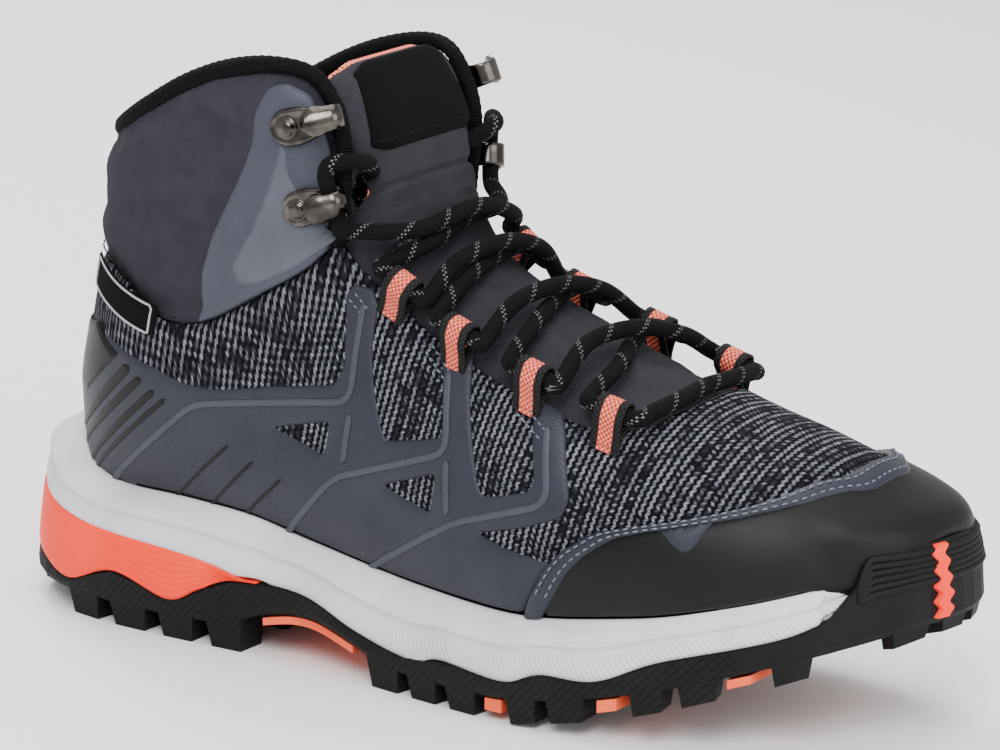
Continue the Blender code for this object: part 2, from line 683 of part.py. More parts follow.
def shifted(points, du=0.0, dc=0.0):
    return [(u + du, c + dc) for u, c in points]


def smooth_line(points, n):
    return [tuple(p) for p in curve_through(points, np.linspace(0, 1, n))]


def around_back(low, front, top):
    """A closed outline that wraps the heel: lateral lines, back to front, and their mirror images."""
    lateral_side = [(u, c + 2 * ROUND) for u, c in low + front + top]
    medial_side = [(u, -c) for u, c in low + front + top]
    return medial_side[::-1] + lateral_side[1:-1]


def smooth_step(value, low, high):
    t = np.clip((value - low) / (high - low), 0, 1)
    return t * t * (3 - 2 * t)


def dropped(points):
    """The outline with its medial rim MEDIAL_DROP lower, fading out at the heel and the throat."""
    out = []
    for u, c in points:
        if 0 < c < ROUND:
            share = smooth_step(c, 0, 20) * smooth_step(ROUND - c, 0, 50)
            u = u - MEDIAL_DROP * share * smooth_step(u, station(14.5), station(16.3))
        out.append((u, c))
    return out


throat_low = [p for p in THROAT if p[0] < station(11.9)]
seam = smooth_line([(station(15.1), -110)] + CUFF_SEAM[1:], 18)
BASE_X = np.linspace(287, 15, 25)
BASE = [(max(u, 1.2), c) for u, c in bottom_edge(1.5, 287, 15, 25)]
knit_half = BASE[:]
knit_half += [(station(12.6), -109.6)] + [(u - 0.4, max(c, -109.6)) for u, c in seam] + throat_low
patch("knit_upper", knit_half + mirrored(knit_half[:-1])[::-1], *KNIT, "knit_grey")

cuff_top = [(u - 3.75 / (0.66 - 0.42 * c / ROUND), c) for u, c in COLLAR[::-1]]
cuff_top = [(u, c - 2.4 if c > -40 else c) for u, c in cuff_top]
cuff_front = [(u, c - 2.4) for u, c in THROAT[::-1] if station(12.3) < u < station(15.2)]
cuff_low = [(u + 0.4, c) for u, c in seam if c < -25.2]
cuff_outline = dropped(around_back(cuff_low, cuff_front, cuff_top[1:]))
patch("cuff", cuff_outline, *KNIT, "softshell")

# ---- layers inside the collar ----
inner_top = [(u, min(c, -43)) for u, c in cuff_top if c < -38]
foam_front = [(station(k), -43) for k in (11.6, 13.5, 15.5, 16.6)]
foam_low = [(station(14.0), -110)] + lateral((24, 88), (45, 82), (70, 84), (90, 96))
foam_outline = dropped(around_back(foam_low, foam_front, inner_top))
patch("collar_foam", foam_outline, *FOAM, "lining_grey", step=14)
lining_low = [(station(12.55), -110)] + lateral((24, 42), (60, 41), (100, 39), (130, 38), (146, 52))
lining_front = [(station(k), -43) for k in (9.5, 10.5, 11.6, 13.5, 15.5, 16.6)]
lining_outline = dropped(around_back(lining_low, lining_front, inner_top))
patch("lining", lining_outline, *LINING, "lining_grey", step=14)
counter_low = [(station(12.5), -110)] + lateral((22, 42), (50, 41))
counter_top = lateral((66, 44), (60, 66), (44, 76), (28, 80)) + [(station(13.72), -110)]
patch("heel_counter", around_back(counter_low, [], counter_top), -4.4, FOAM[1], "board")
puff_half = [(17, -60), (30, -68), (46, -70), (50, -40), (44, -20), (42, 0)]
patch("toe_puff", puff_half + mirrored(puff_half[:-1])[::-1], -3.4, -2.6, "board")

# ---- overlays ----
CAGE = [
    (35, 88), (54, 82), (67, 78.5), (97, 82.5), (118, 86), (121.5, 92), (121, 104), (120, 112),
    (122, 115.5), (128, 114.5), (130.5, 110), (136, 76), (138, 73), (157, 77), (158.5, 80), (153.5, 103),
    (155, 106), (161, 103.5), (163.5, 98), (172.5, 66), (175, 63.5), (190, 67.5), (191.5, 70), (186, 88),
    (187, 91), (194, 88.5), (197, 84), (203, 67), (201.5, 62), (190, 57.5), (173, 53), (182, 50.5),
    (192, 49.5), (199, 48.5), (194.5, 42), (189, 32.5),
]
TRIANGLES = ([(96, 70), (117, 75), (115, 64.5)], [(137, 60), (157, 67), (155.5, 55)])
CAP_LINE = [
    (189.5, 31), (199.5, 48.5), (209, 56.5), (217, 60.5), (241, 66), (258, 70.5), (266, 74),
]


def cage_outline():
    base = [p for p, x in zip(BASE, BASE_X) if x < 186]
    heel = [(station(12.9), -109.6), (station(14.3), -109.6)]
    return base + heel + lateral(*CAGE)


cage = cage_outline()
triangles = [rounded(lateral(*t), 2.0) for t in TRIANGLES]
patch("cage_lateral", cage, *FILM, "film_slate", holes=triangles)
patch("cage_medial", mirrored(cage), *FILM, "film_slate", holes=[mirrored(t) for t in triangles])

cap_line = lateral(*CAP_LINE) + [(station(2.82), -14), (station(2.78), 0)]
cap_line = smooth_line(cap_line, 18)
cap_half = [p for p, x in zip(BASE, BASE_X) if x > 192]
cap_half += shifted(cap_line, du=-1.0)[1:]
patch("toe_cap", cap_half + mirrored(cap_half[:-1])[::-1], *CAP, "cap_black")
trim_high = shifted(cap_line, du=0.9)
trim_low = shifted(cap_line, du=-4.0)
trim_low[0] = FORM.side_view(195.0, float(along(FEATHER, 195.0)) + 1.0)
band = trim_high + mirrored(trim_high[:-1])[::-1] + mirrored(trim_low) + trim_low[:-1][::-1]
patch("toe_cap_trim", band, *TRIM, "film_slate")

panel_back = lateral((97, 171), (93, 163), (92, 154), (88, 145), (83, 136), (77, 125), (73, 114), (73, 103))
panel_low = [p for p in cuff_low if p[1] > -58]
panel_front = cuff_front
panel_top = [p for p in cuff_top[1:] if p[1] > -37]
panel = panel_low + panel_front + panel_top + panel_back
patch("hook_facing_lateral", panel, *FILM, "film_pale")
patch("hook_facing_medial", dropped(mirrored(panel)), *FILM, "film_pale")

# ---- tongue ----
HINGE = station(12.95)
TONGUE_TOP = station(16.72)
tongue_half = [(station(5.1), -12), (station(5.7), -26), (station(6.6), -36), (station(9), -37)]
tongue_half += [(station(11.2), -33), (station(12.2), -24), (up(HINGE, -1.0), -17)]
patch(
    "tongue_lower", [(station(5.0), 0)] + tongue_half + mirrored(tongue_half)[::-1], *TONGUE,
    "softshell",
)
top_half = [(up(HINGE, 1.0), -12.5), (up(HINGE, 8.5), -12.8), (up(HINGE, 11), -18.5)]
top_half += [(station(15.5), -18.7), (up(TONGUE_TOP, -4), -18)]
top_half += [(up(TONGUE_TOP, -0.8), -15.5), (TONGUE_TOP, -11)]
patch("tongue_top", top_half + mirrored(top_half)[::-1], *TONGUE, "softshell")
patch_half = [(up(HINGE, 9.5), -12), (up(HINGE, 12), -16), (station(15.2), -16.2)]
patch_half += [(up(TONGUE_TOP, -4), -15.5), (up(TONGUE_TOP, -1.2), -12)]
patch("tongue_patch", patch_half + mirrored(patch_half)[::-1], -1.7, -0.9, "cap_black")
strip_half = [(up(TONGUE_TOP, -7), -17.5), (up(TONGUE_TOP, -2), -17), (up(TONGUE_TOP, 1), -13)]
strip_half += [(up(TONGUE_TOP, 1.7), -8)]
patch("tongue_lining", strip_half + mirrored(strip_half)[::-1], -7.8, -6.2 - 0.8, "webbing_coral")


# ---- collar binding: a soft roll over the collar's edge and down the front edges ----
front_edge = [p for p in THROAT[1:] if p[0] > station(12.0)]
roll_half = smooth_line(COLLAR, 30) + smooth_line([COLLAR[-1]] + front_edge, 9)[1:]
roll = [(u, -c) for u, c in roll_half[::-1]] + [(u, c + 2 * ROUND) for u, c in roll_half[1:]]
roll = np.array(dropped(roll))
frontness = np.clip((47 - np.minimum(roll[:, 1], 2 * ROUND - roll[:, 1])) / 18, 0, 1)
roll_line = FORM.at(roll[:, 0], roll[:, 1], -3.4 + 4.0 * frontness)
tube("collar_binding", roll_line, BINDING_RADIUS, "cap_black", radii=BINDING_RADIUS - 1.0 * frontness)

# ---- hooks ----
HOOK_AT = {"upper": (105.5, 160.5, 14.0), "lower": (108.5, 137.5, 22.0)}  # rivet x, z and rise in degrees
HOOK_BASE = 3.4  # centre of the base plate above the form
HOOK_BEND = 3.7
HOOK_REACH = 9.8
METAL = 1.2


def local(u, c, side, run, height):
    """A point run mm from (u, c) towards the throat, height mm above the form."""
    per_mm = 0.1 / np.linalg.norm(FORM.at(u, c + 0.1) - FORM.at(u, c))
    return FORM.at(u, c - side * run * per_mm, height)[0]


def along_u(u, c):
    d = FORM.at(u + 1.0, c)[0] - FORM.at(u - 1.0, c)[0]
    return d / np.linalg.norm(d)


hook_holds = {}  # where the middle of a lace lies in each hook


def hook(name, x, z, rise, side):
    """A plate folded back over itself; side is +1 on the medial face."""
    rise = np.radians(rise)

    def spot(run, height):
        u, c = FORM.side_view(x + run * np.cos(rise), z + run * np.sin(rise), side > 0)
        return FORM.at(u, c, height)[0]

    path = [spot(a, HOOK_BASE) for a in (-5.6, -4.6, -2.0, 1.5, 5.0, HOOK_REACH - 1.0)]
    widths = [5.0, 8.0, 10.4, 10.4, 8.6, 7.0]
    root = spot(HOOK_REACH, HOOK_BASE)
    out = spot(HOOK_REACH, HOOK_BASE + 1) - root
    ahead = spot(HOOK_REACH + 1, HOOK_BASE) - spot(HOOK_REACH - 1, HOOK_BASE)
    ahead /= np.linalg.norm(ahead)
    across = np.cross(ahead, out)
    across *= np.sign(across[2]) / np.linalg.norm(across)
    for angle in np.linspace(-80, 80, 7):
        a, h = HOOK_BEND * np.cos(np.radians(angle)), HOOK_BEND * (1 + np.sin(np.radians(angle)))
        path.append(root + ahead * a + out * h)
        widths.append(6.6)
    for back, width in ((1.5, 7.2), (4.5, 8.6), (7.0, 7.6), (8.3, 4.6)):
        path.append(root - ahead * back + out * (2 * HOOK_BEND + 0.1))
        widths.append(width)
    add(name, *strip(path, [across] * len(path), widths, METAL), "nickel")
    hook_holds[name] = (root + out * HOOK_BEND, across, ahead)
    pin = spot(-1.2, HOOK_BASE + METAL / 2 + GAP)
    normal = spot(-1.2, HOOK_BASE + 1) - spot(-1.2, HOOK_BASE)
    e1 = across - normal * (across @ normal)
    e2 = np.cross(normal, e1)
    turn = np.linspace(0, 2 * np.pi, 16, endpoint=False)
    rings = [
        pin + normal * h + r * (np.cos(turn)[:, None] * e1 + np.sin(turn)[:, None] * e2)
        for h, r in ((0, 3.4), (0.5, 3.3), (1.0, 2.6), (1.3, 1.2))
    ]
    add(name + "_rivet", *loft(rings), "nickel")


for level, (x, z, rise) in HOOK_AT.items():
    for side, label in ((-1, "lateral"), (1, "medial")):
        hook(f"hook_{label}_{level}", x, z, rise, side)

# ---- webbing loops ----
LOOP_U = [FORM.side_view(x, z)[0] for x, z in ((209, 87), (184, 95), (159, 104.5), (138, 115))]
LOOP_AT_C = [24.5, 24.0, 23.0, 21.5]
LACE_AT_LOOP = 6.4
LOOP_UNDER = ((-12.0, 3.3), (-9.0, 3.2), (-6.0, 3.0), (-3.0, 2.8))  # run towards the throat, and height
LOOP_OVER = ((-4.0, 8.1), (-7.0, 5.8), (-9.5, 4.7), (-12.0, 4.6))
WEBBING = 0.8


def lace_loop(name, u, c, side):
    reach = LACE_RADIUS + 0.8 + WEBBING / 2
    path = [local(u, side * c, side, a, h) for a, h in LOOP_UNDER]
    eye = local(u, side * c, side, 0, LACE_AT_LOOP)
    out = local(u, side * c, side, 0, LACE_AT_LOOP + 1) - eye
    ahead = np.cross(along_u(u, side * c), out)
    ahead *= np.sign(ahead @ (local(u, side * c, side, 1, 5) - local(u, side * c, side, -1, 5)))
    for angle in np.linspace(-85, 95, 8):
        path.append(eye + reach * (ahead * np.cos(np.radians(angle)) + out * np.sin(np.radians(angle))))
    path += [local(u, side * c, side, a, h) for a, h in LOOP_OVER]
    add(name, *strip(path, [along_u(u, side * c)] * len(path), [8.0] * len(path), WEBBING), "webbing_coral")


for k in range(4):
    for side, label in ((-1, "lateral"), (1, "medial")):
        lace_loop(f"lace_loop_{label}_{k + 1}", LOOP_U[k], LOOP_AT_C[k], side)

# ---- lace: one lace in two halves that meet in the middle of the bottom bar ----
TAIL_OFFSET = -13.0
TAIL_TOE_END = station(6.9)
# From the lower hook in behind the tongue: mm past the tongue's bend, C, and height above the form
LACE_TUCK = ((12.5, 23.5, 7.2), (9.5, 18.8, 5.2), (6, 16.4, -1.5), (4, 16.4, -7.5), (1, 16.4, -10.8))


def held(centre, run, toward, straight, reach):
    """Points of a lace that runs straight through a loop or hook and turns to one side at both ends."""
    bends = ((-reach, 0.9), (-straight, 0.0), (0.0, 0.0), (straight, 0.0), (reach, 0.9))
    return [centre + run * d + toward * a for d, a in bends]


def lace_route(side):
    """Points of half of the lacing, from the middle of the bottom bar to the tucked end."""
    route = []

    def through(*spots):
        for u, c, height in spots:
            route.append(FORM.at(u, c, height)[0])

    bar = LOOP_U[0] - 12
    through((bar, side * 0.2, 1.4), (bar, side * 12, 2.4), (bar + 2.5, side * 21, 5.0))
    here = side
    for k in range(4):
        u, c = LOOP_U[k], here * LOOP_AT_C[k]
        eye = local(u, c, here, 0.0, LACE_AT_LOOP)
        route.extend(held(eye, along_u(u, c), local(u, c, here, 1.0, LACE_AT_LOOP) - eye, 4.6, 8.4))
        middle = 6.9 if (side > 0) == (k % 2 == 0) else 1.2
        beside = (middle + LACE_AT_LOOP) / 2 - 0.6
        if k < 3:
            centre = (LOOP_U[k] + LOOP_U[k + 1]) / 2
            through((centre - 5, here * 12, beside), (centre, 0, middle), (centre + 5, -here * 12, beside))
            here = -here
    start = LOOP_U[3] + 5.5
    over = 0.8 if middle > 4 else 0.0
    through((up(start, 2.5), here * 12, beside), (up(start, 5), 0, middle + over))
    through((up(start, 8), -here * 13, beside + over))
    here = -here
    label = "medial" if here > 0 else "lateral"
    hold, run, ahead = hook_holds[f"hook_{label}_lower"]
    route.extend(held(hold - ahead * 0.2, run, ahead, 5.4, 9.0))
    for mm, c, height in LACE_TUCK:
        through((up(HINGE, mm), here * c, height))
    low, high = TAIL_TOE_END, up(HINGE, -9)
    middle = (low + high) / 2
    tail = [(up(HINGE, -4), 16.5), (middle, 16.5), (low, 16.5), (low - 3.5, 13.5)]
    tail += [(low, 10.5), (middle, 10.5), (high, 10.5), (up(high, 3.5), 7.5), (high, 4.5), (middle, 4.5)]
    through(*[(u, here * c, TAIL_OFFSET) for u, c in tail])
    return np.array(route)


def lay(route, n):
    """About n points along a smooth curve through the route: the route's own, and more where it bends."""
    per = 40
    fine = curve_through(route, np.linspace(0, 1, per * (len(route) - 1) + 1))
    step = np.linalg.norm(np.diff(fine, axis=0), axis=1)
    heading = np.diff(fine, axis=0) / step[:, None]
    turn = np.concatenate([[0], np.arccos(np.clip((heading[1:] * heading[:-1]).sum(axis=1), -1, 1))])
    weight = (step / 14.0 + turn / 0.5).reshape(-1, per)
    share = (n - len(route)) / weight.sum()
    out = [fine[0]]
    for k, part in enumerate(weight):
        pieces = 1 + int(part.sum() * share + 0.35)
        far = np.concatenate([[0], np.cumsum(part)])
        at = np.interp(np.linspace(0, far[-1], pieces + 1)[1:], far, np.arange(per + 1))
        line = fine[k * per : (k + 1) * per + 1]
        out += [[np.interp(a, np.arange(per + 1), line[:, m]) for m in range(3)] for a in at]
    return np.array(out)


AGLET = 15.0
for side, label in ((-1, "lateral"), (1, "medial")):
    line = lay(lace_route(side), 80)
    tube(f"lace_{label}", line, LACE_RADIUS, "braid_black")
    end, ahead = line[-1], line[-1] - line[-2]
    ahead /= np.linalg.norm(ahead)
    tip = [end + ahead * d for d in (GAP, AGLET / 2, AGLET)]
    tube(f"aglet_{label}", tip, LACE_RADIUS - 0.3, "cap_black")

# ---- side tag, sewn along its upper edge ----
tag = lateral((30.5, 112.7), (58, 101.7), (56, 92.2), (28.5, 103.2))
patch("side_tag", rounded(tag, 1.5), 2.2, 3.0, "cap_black")
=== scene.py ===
"""The looks of a right-foot mid-cut hiking boot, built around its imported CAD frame.

Lengths are millimetres of the design tables, measured from the back of the heel (x forward, y
medial, z up), graded by SIZE and centred by ORIGIN when a mesh is made. A place on the upper is
(U, C): U runs along the foot from the toe to the collar, C round it from the vamp's centre line.
"""

import bmesh
import bpy
import numpy as np
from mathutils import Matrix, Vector
from mathutils.bvhtree import BVHTree
from mathutils.geometry import delaunay_2d_cdt


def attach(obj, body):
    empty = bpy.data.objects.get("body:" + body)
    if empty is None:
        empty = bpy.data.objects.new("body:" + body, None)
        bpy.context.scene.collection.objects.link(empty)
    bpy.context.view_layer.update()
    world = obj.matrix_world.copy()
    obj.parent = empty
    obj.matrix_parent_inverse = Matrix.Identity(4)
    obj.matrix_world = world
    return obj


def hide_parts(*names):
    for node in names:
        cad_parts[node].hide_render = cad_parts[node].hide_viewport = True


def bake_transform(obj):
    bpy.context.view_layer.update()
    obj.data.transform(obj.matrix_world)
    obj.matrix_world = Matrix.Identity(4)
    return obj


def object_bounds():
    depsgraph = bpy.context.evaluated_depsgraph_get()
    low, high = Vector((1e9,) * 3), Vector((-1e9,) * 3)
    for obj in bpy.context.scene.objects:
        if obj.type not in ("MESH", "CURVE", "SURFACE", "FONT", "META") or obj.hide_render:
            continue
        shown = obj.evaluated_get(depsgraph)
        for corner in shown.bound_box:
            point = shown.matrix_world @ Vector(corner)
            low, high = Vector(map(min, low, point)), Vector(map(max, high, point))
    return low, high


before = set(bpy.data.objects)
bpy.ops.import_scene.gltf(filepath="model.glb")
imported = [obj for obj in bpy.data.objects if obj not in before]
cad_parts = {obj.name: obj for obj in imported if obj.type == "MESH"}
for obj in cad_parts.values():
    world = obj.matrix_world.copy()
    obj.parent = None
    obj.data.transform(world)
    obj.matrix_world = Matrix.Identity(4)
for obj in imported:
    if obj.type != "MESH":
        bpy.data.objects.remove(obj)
cad_box = [[float(v) for v in corner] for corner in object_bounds()]

SIZE = 0.95  # the tables are drawn for a 311 mm sole, and this grades them to a 296 mm one
MM = 0.001 * SIZE
ORIGIN = (144.08, 0.68, -0.21)  # bottom centre of the boot's box, in the tables' own frame
GAP = 0.35  # clearance between neighbouring pieces
LACE_RADIUS = 2.4
BINDING_RADIUS = 3.2

# ---- the form: cross-sections from the toe tip to above the collar --------------------------
# Each section runs from a far point (sole or heel side) to a near point (vamp or shin side):
# far x, far z, near x, near z, centre y, half width, belly, far power, near power
SECTIONS = [
    (289.5, 46, 289.5, 54.0, 10.0, 8.0, 0.50, 2.0, 2.0),
    (286.0, 44, 286.0, 61.5, 10.0, 16.5, 0.40, 2.2, 2.0),
    (279.0, 41, 279.0, 69.5, 9.0, 25.5, 0.33, 2.5, 2.0),
    (268.0, 37, 268.0, 77.0, 6.0, 35.0, 0.32, 2.6, 2.0),
    (252.0, 32, 252.0, 83.0, 3.5, 41.5, 0.32, 3.0, 2.0),
    (232.0, 27, 232.0, 88.5, 1.0, 45.0, 0.32, 3.0, 2.1),
    (210.0, 22, 210.0, 95.5, 0.3, 45.5, 0.31, 3.0, 2.2),
    (188.0, 20, 188.0, 103.5, -1.0, 44.5, 0.31, 3.0, 2.3),
    (160.0, 21, 168.0, 111.5, -2.0, 40.5, 0.33, 3.0, 2.4),
    (128.0, 23, 153.0, 119.0, -2.0, 37.0, 0.36, 3.0, 2.5),
    (92.0, 26, 143.0, 126.0, -1.0, 35.5, 0.42, 3.0, 2.7),
    (50.0, 27, 137.0, 132.0, 0.0, 35.5, 0.45, 2.6, 3.1),
    (15.0, 33, 133.5, 138.5, 0.0, 36.5, 0.45, 2.3, 3.5),
    (7.5, 60, 131.0, 145.0, 0.0, 37.5, 0.45, 2.2, 3.9),
    (11.0, 85, 128.5, 152.5, 0.5, 38.5, 0.48, 2.2, 4.2),
    (17.0, 112, 124.5, 162.0, 1.0, 39.5, 0.50, 2.2, 4.2),
    (21.0, 135, 119.0, 172.0, 1.0, 40.0, 0.50, 2.2, 4.0),
    (22.0, 152, 113.0, 181.0, 1.0, 39.5, 0.50, 2.2, 3.8),
    (22.0, 172, 106.0, 191.0, 1.0, 39.0, 0.50, 2.2, 3.6),
]
ROUND = 110  # loop coordinate of the sole and heel centre line; the vamp centre line is 0

# ---- the sole: plan outline, and heights along the length -----------------------------------
SOLE_OUTLINE = [
    (-12, 0), (-8, -16), (5, -29.5), (27, -36.5), (55, -38.5), (82, -38.5), (112, -39.5), (146, -45),
    (180, -49.5), (208, -50.5), (233, -46.5), (256, -38.5), (277.5, -25.5),
    (293, -8.5), (299, 11), (296, 28),
    (283, 41), (261, 49), (234, 52), (206, 50.5), (178, 46.5), (148, 40.5), (114, 34.5), (82, 33),
    (55, 36), (27, 34.5), (5, 27.5), (-8, 15),
]
PLATE_BOTTOM = [
    (-6, 9), (8, 7), (72, 7), (90, 12), (108, 15), (126, 11), (142, 6.5), (178, 6.5), (195, 8.5),
    (215, 12.5), (235, 17.5), (252, 22.5), (270, 28), (295, 36),
]
PLATE = 3.5
OUTSOLE_EDGE = [
    (-6, 17), (3, 15), (18, 11), (37, 17), (58, 12), (70, 17), (83, 22), (107, 22), (128, 15.5),
    (151, 11.5), (162, 14), (185, 12.5), (198, 17), (216, 18), (235, 26), (264, 34), (275, 39),
    (284, 45), (295, 48),
]
INSERT_TOP = [(-6, 39), (4, 34), (20, 30.5), (40, 28.5), (62, 27), (76, 25), (84, 23), (92, 22)]
FEATHER = [
    (-6, 56), (4, 52), (14, 45), (33, 41), (60, 41), (85, 40), (107, 36), (144, 31), (184, 30),
    (226, 36), (253, 42), (276, 48), (295, 52),
]
BUMPER_TOP = 59.0


def curve_through(points, t, closed=False):
    """Catmull-Rom curve through the points, t running 0..1 over them all."""
    p = np.asarray(points, float)
    n = len(p)
    t = np.asarray(t, float)
    if closed:
        s = (t % 1.0) * n
        i = np.floor(s).astype(int)
        f = (s - i)[:, None]
        a, b, c, d = (p[(i + k) % n] for k in (-1, 0, 1, 2))
    else:
        q = np.vstack([2 * p[0] - p[1], p, 2 * p[-1] - p[-2]])
        s = np.clip(t, 0, 1) * (n - 1)
        i = np.minimum(np.floor(s).astype(int), n - 2)
        f = (s - i)[:, None]
        a, b, c, d = (q[i + k] for k in range(4))
    return 0.5 * (
        2 * b + (c - a) * f + (2 * a - 5 * b + 4 * c - d) * f**2 + (3 * b - a - 3 * c + d) * f**3
    )


def along(table, x):
    """The height that a table of (x, value) pairs gives at x, smoothed between its points."""
    t = np.asarray(table, float)
    fine = curve_through(t, np.linspace(0, 1, 12 * len(t)))
    return np.interp(x, fine[:, 0], fine[:, 1])


def travelled(points):
    """The distance along a line at each of its points."""
    return np.concatenate([[0], np.cumsum(np.linalg.norm(np.diff(points, axis=0), axis=1))])


def unit(rows):
    """The rows, each scaled to length 1."""
    return rows / np.linalg.norm(rows, axis=1, keepdims=True)


class Form:
    """The outer face of the upper as a surface of U (mm, toe to collar) and C (loop, 0 at the vamp)."""

    def __init__(self, n_u=181, n_c=220, n_s=160):
        self.n_c = n_c
        rows = curve_through(SECTIONS, np.linspace(0, 1, n_u))
        s = 0.5 - 0.5 * np.cos(np.linspace(0, np.pi, n_s))
        self.far, self.near = rows[:, 0:2], rows[:, 2:4]
        far_step = np.linalg.norm(np.diff(self.far, axis=0), axis=1)
        near_step = np.linalg.norm(np.diff(self.near, axis=0), axis=1)
        self.u = np.concatenate([[0], np.cumsum(0.75 * far_step + 0.25 * near_step)])
        self.grid = np.zeros((n_u, n_c, 3))
        self.table = []
        c = np.arange(n_c) * (2 * ROUND / n_c) - ROUND
        for k, (fx, fz, nx, nz, yc, w, b, pf, pn) in enumerate(rows):
            low = np.clip(1 - np.abs(1 - s / b) ** pf, 0, 1) ** (1 / pf)
            high = np.clip(1 - np.abs((s - b) / (1 - b)) ** pn, 0, 1) ** (1 / pn)
            y = w * np.where(s < b, low, high)
            x, z = fx + (nx - fx) * s, fz + (nz - fz) * s
            steps = np.sqrt(np.diff(x) ** 2 + np.diff(y) ** 2 + np.diff(z) ** 2)
            arc = np.concatenate([[0], np.cumsum(steps)])
            v = arc / arc[-1]
            at = 1 - np.abs(c) / ROUND
            self.grid[k, :, 0] = np.interp(at, v, x)
            self.grid[k, :, 1] = np.interp(at, v, y) * np.sign(c) + yc
            self.grid[k, :, 2] = np.interp(at, v, z)
            self.table.append((s, v))
        du = np.gradient(self.grid, self.u, axis=0)
        dc = (np.roll(self.grid, -1, axis=1) - np.roll(self.grid, 1, axis=1)) * (n_c / (4 * ROUND))
        n = np.cross(dc, du)
        n /= np.linalg.norm(n, axis=2, keepdims=True) + 1e-9
        middle = self.grid.mean(axis=1, keepdims=True)
        if ((self.grid - middle) * n).sum() < 0:
            n = -n
        self.normal = n

    def sample(self, what, u, c):
        i = np.interp(u, self.u, np.arange(len(self.u)))
        j = ((np.asarray(c, float) + ROUND) % (2 * ROUND)) * self.n_c / (2 * ROUND)
        i0 = np.clip(np.floor(i).astype(int), 0, len(self.u) - 2)
        j0 = np.floor(j).astype(int)
        f, g = (i - i0)[:, None], (j - j0)[:, None]
        j0, j1 = j0 % self.n_c, (j0 + 1) % self.n_c
        return (what[i0, j0] * (1 - f) + what[i0 + 1, j0] * f) * (1 - g) + (
            what[i0, j1] * (1 - f) + what[i0 + 1, j1] * f
        ) * g

    def at(self, u, c, offset=0.0):
        u, c = np.atleast_1d(np.asarray(u, float)), np.atleast_1d(np.asarray(c, float))
        u, c = np.broadcast_arrays(u, c)
        n = unit(self.sample(self.normal, u, c))
        return self.sample(self.grid, u, c) + n * np.broadcast_to(offset, u.shape)[:, None]

    def side_view(self, x, z, medial=False):
        """(U, C) of the point of one side that shows at (x, z) seen from that side."""
        d = self.near - self.far
        cross = d[:, 0] * (z - self.far[:, 1]) - d[:, 1] * (x - self.far[:, 0])
        hits = np.nonzero(np.sign(cross[:-1]) != np.sign(cross[1:]))[0]
        best = None
        for k in hits:
            f = cross[k] / (cross[k] - cross[k + 1])
            far = self.far[k] * (1 - f) + self.far[k + 1] * f
            near = self.near[k] * (1 - f) + self.near[k + 1] * f
            span = near - far
            s = ((x - far[0]) * span[0] + (z - far[1]) * span[1]) / (span**2).sum()
            if best is None or abs(s - 0.5) < abs(best[0] - 0.5):
                best = (s, self.u[k] * (1 - f) + self.u[k + 1] * f, k)
        if best is None:
            raise ValueError(f"({x}, {z}) is off the form")
        s, u, k = best
        v = np.interp(np.clip(s, 0, 1), *self.table[k])
        return u, (1 - v) * ROUND * (1 if medial else -1)


FORM = Form()
CREST = travelled(FORM.near)


def up(u, mm):
    """U of the point mm further along the vamp and shin centre line than u."""
    return float(np.interp(np.interp(u, FORM.u, CREST) + mm, CREST, FORM.u))


def lateral(*points):
    """(U, C) of points given as (x, z) in the lateral side view."""
    return [FORM.side_view(x, z) for x, z in points]


def linear(*srgb):
    return tuple(v / 12.92 if v <= 0.04045 else ((v + 0.055) / 1.055) ** 2.4 for v in srgb)


def inside(points, polygon):
    x, y = points[:, 0], points[:, 1]
    hit = np.zeros(len(points), bool)
    for (ax, ay), (bx, by) in zip(polygon, np.roll(polygon, -1, axis=0)):
        cut = (ay > y) != (by > y)
        hit ^= cut & (x < (bx - ax) * (y - ay) / np.where(by == ay, 1e-12, by - ay) + ax)
    return hit


def edge_distance(points, polygon):
    best = np.full(len(points), 1e9)
    for a, b in zip(polygon, np.roll(polygon, -1, axis=0)):
        d = b - a
        t = np.clip(((points - a) @ d) / max(d @ d, 1e-12), 0, 1)
        best = np.minimum(best, np.linalg.norm(points - a - t[:, None] * d, axis=1))
    return best


def divided(outline, step):
    """The outline with points added so that no edge is longer than step."""
    outline = np.asarray(outline, float)
    out = []
    for a, b in zip(outline, np.roll(outline, -1, axis=0)):
        n = max(1, int(np.ceil(np.linalg.norm(b - a) / step)))
        out += [a + (b - a) * k / n for k in range(n)]
    return np.array(out)


def rounded(points, radius=3.0, n=3):
    """A closed outline with each corner cut by a short curve."""
    p = np.asarray(points, float)
    out = []
    for k in range(len(p)):
        a, b, c = p[k - 1], p[k], p[(k + 1) % len(p)]
        r1 = min(radius, np.linalg.norm(a - b) * 0.45)
        r2 = min(radius, np.linalg.norm(c - b) * 0.45)
        s = b + (a - b) / max(np.linalg.norm(a - b), 1e-9) * r1
        e = b + (c - b) / max(np.linalg.norm(c - b), 1e-9) * r2
        for t in np.linspace(0, 1, n):
            out.append((1 - t) ** 2 * s + 2 * t * (1 - t) * b + t**2 * e)
    return np.array(out)


RING_T = np.linspace(0, 1, 84, endpoint=False)


def outline_ring(inset, height, t=RING_T):
    """The sole outline moved inwards by inset, at heights given as a number or a table over x."""
    p = curve_through(SOLE_OUTLINE, t, True)
    d = curve_through(SOLE_OUTLINE, t + 1e-3, True) - curve_through(SOLE_OUTLINE, t - 1e-3, True)
    n = unit(np.stack([-d[:, 1], d[:, 0]], axis=1))
    q = p + n * np.broadcast_to(inset, len(p))[:, None]
    z = along(height, p[:, 0]) if isinstance(height, list) else np.broadcast_to(height, len(p))
    return np.column_stack([q, z])


TOE_CENTRE = (245, 6)
TOE_TURN = 6  # degrees towards the medial side that the toe points


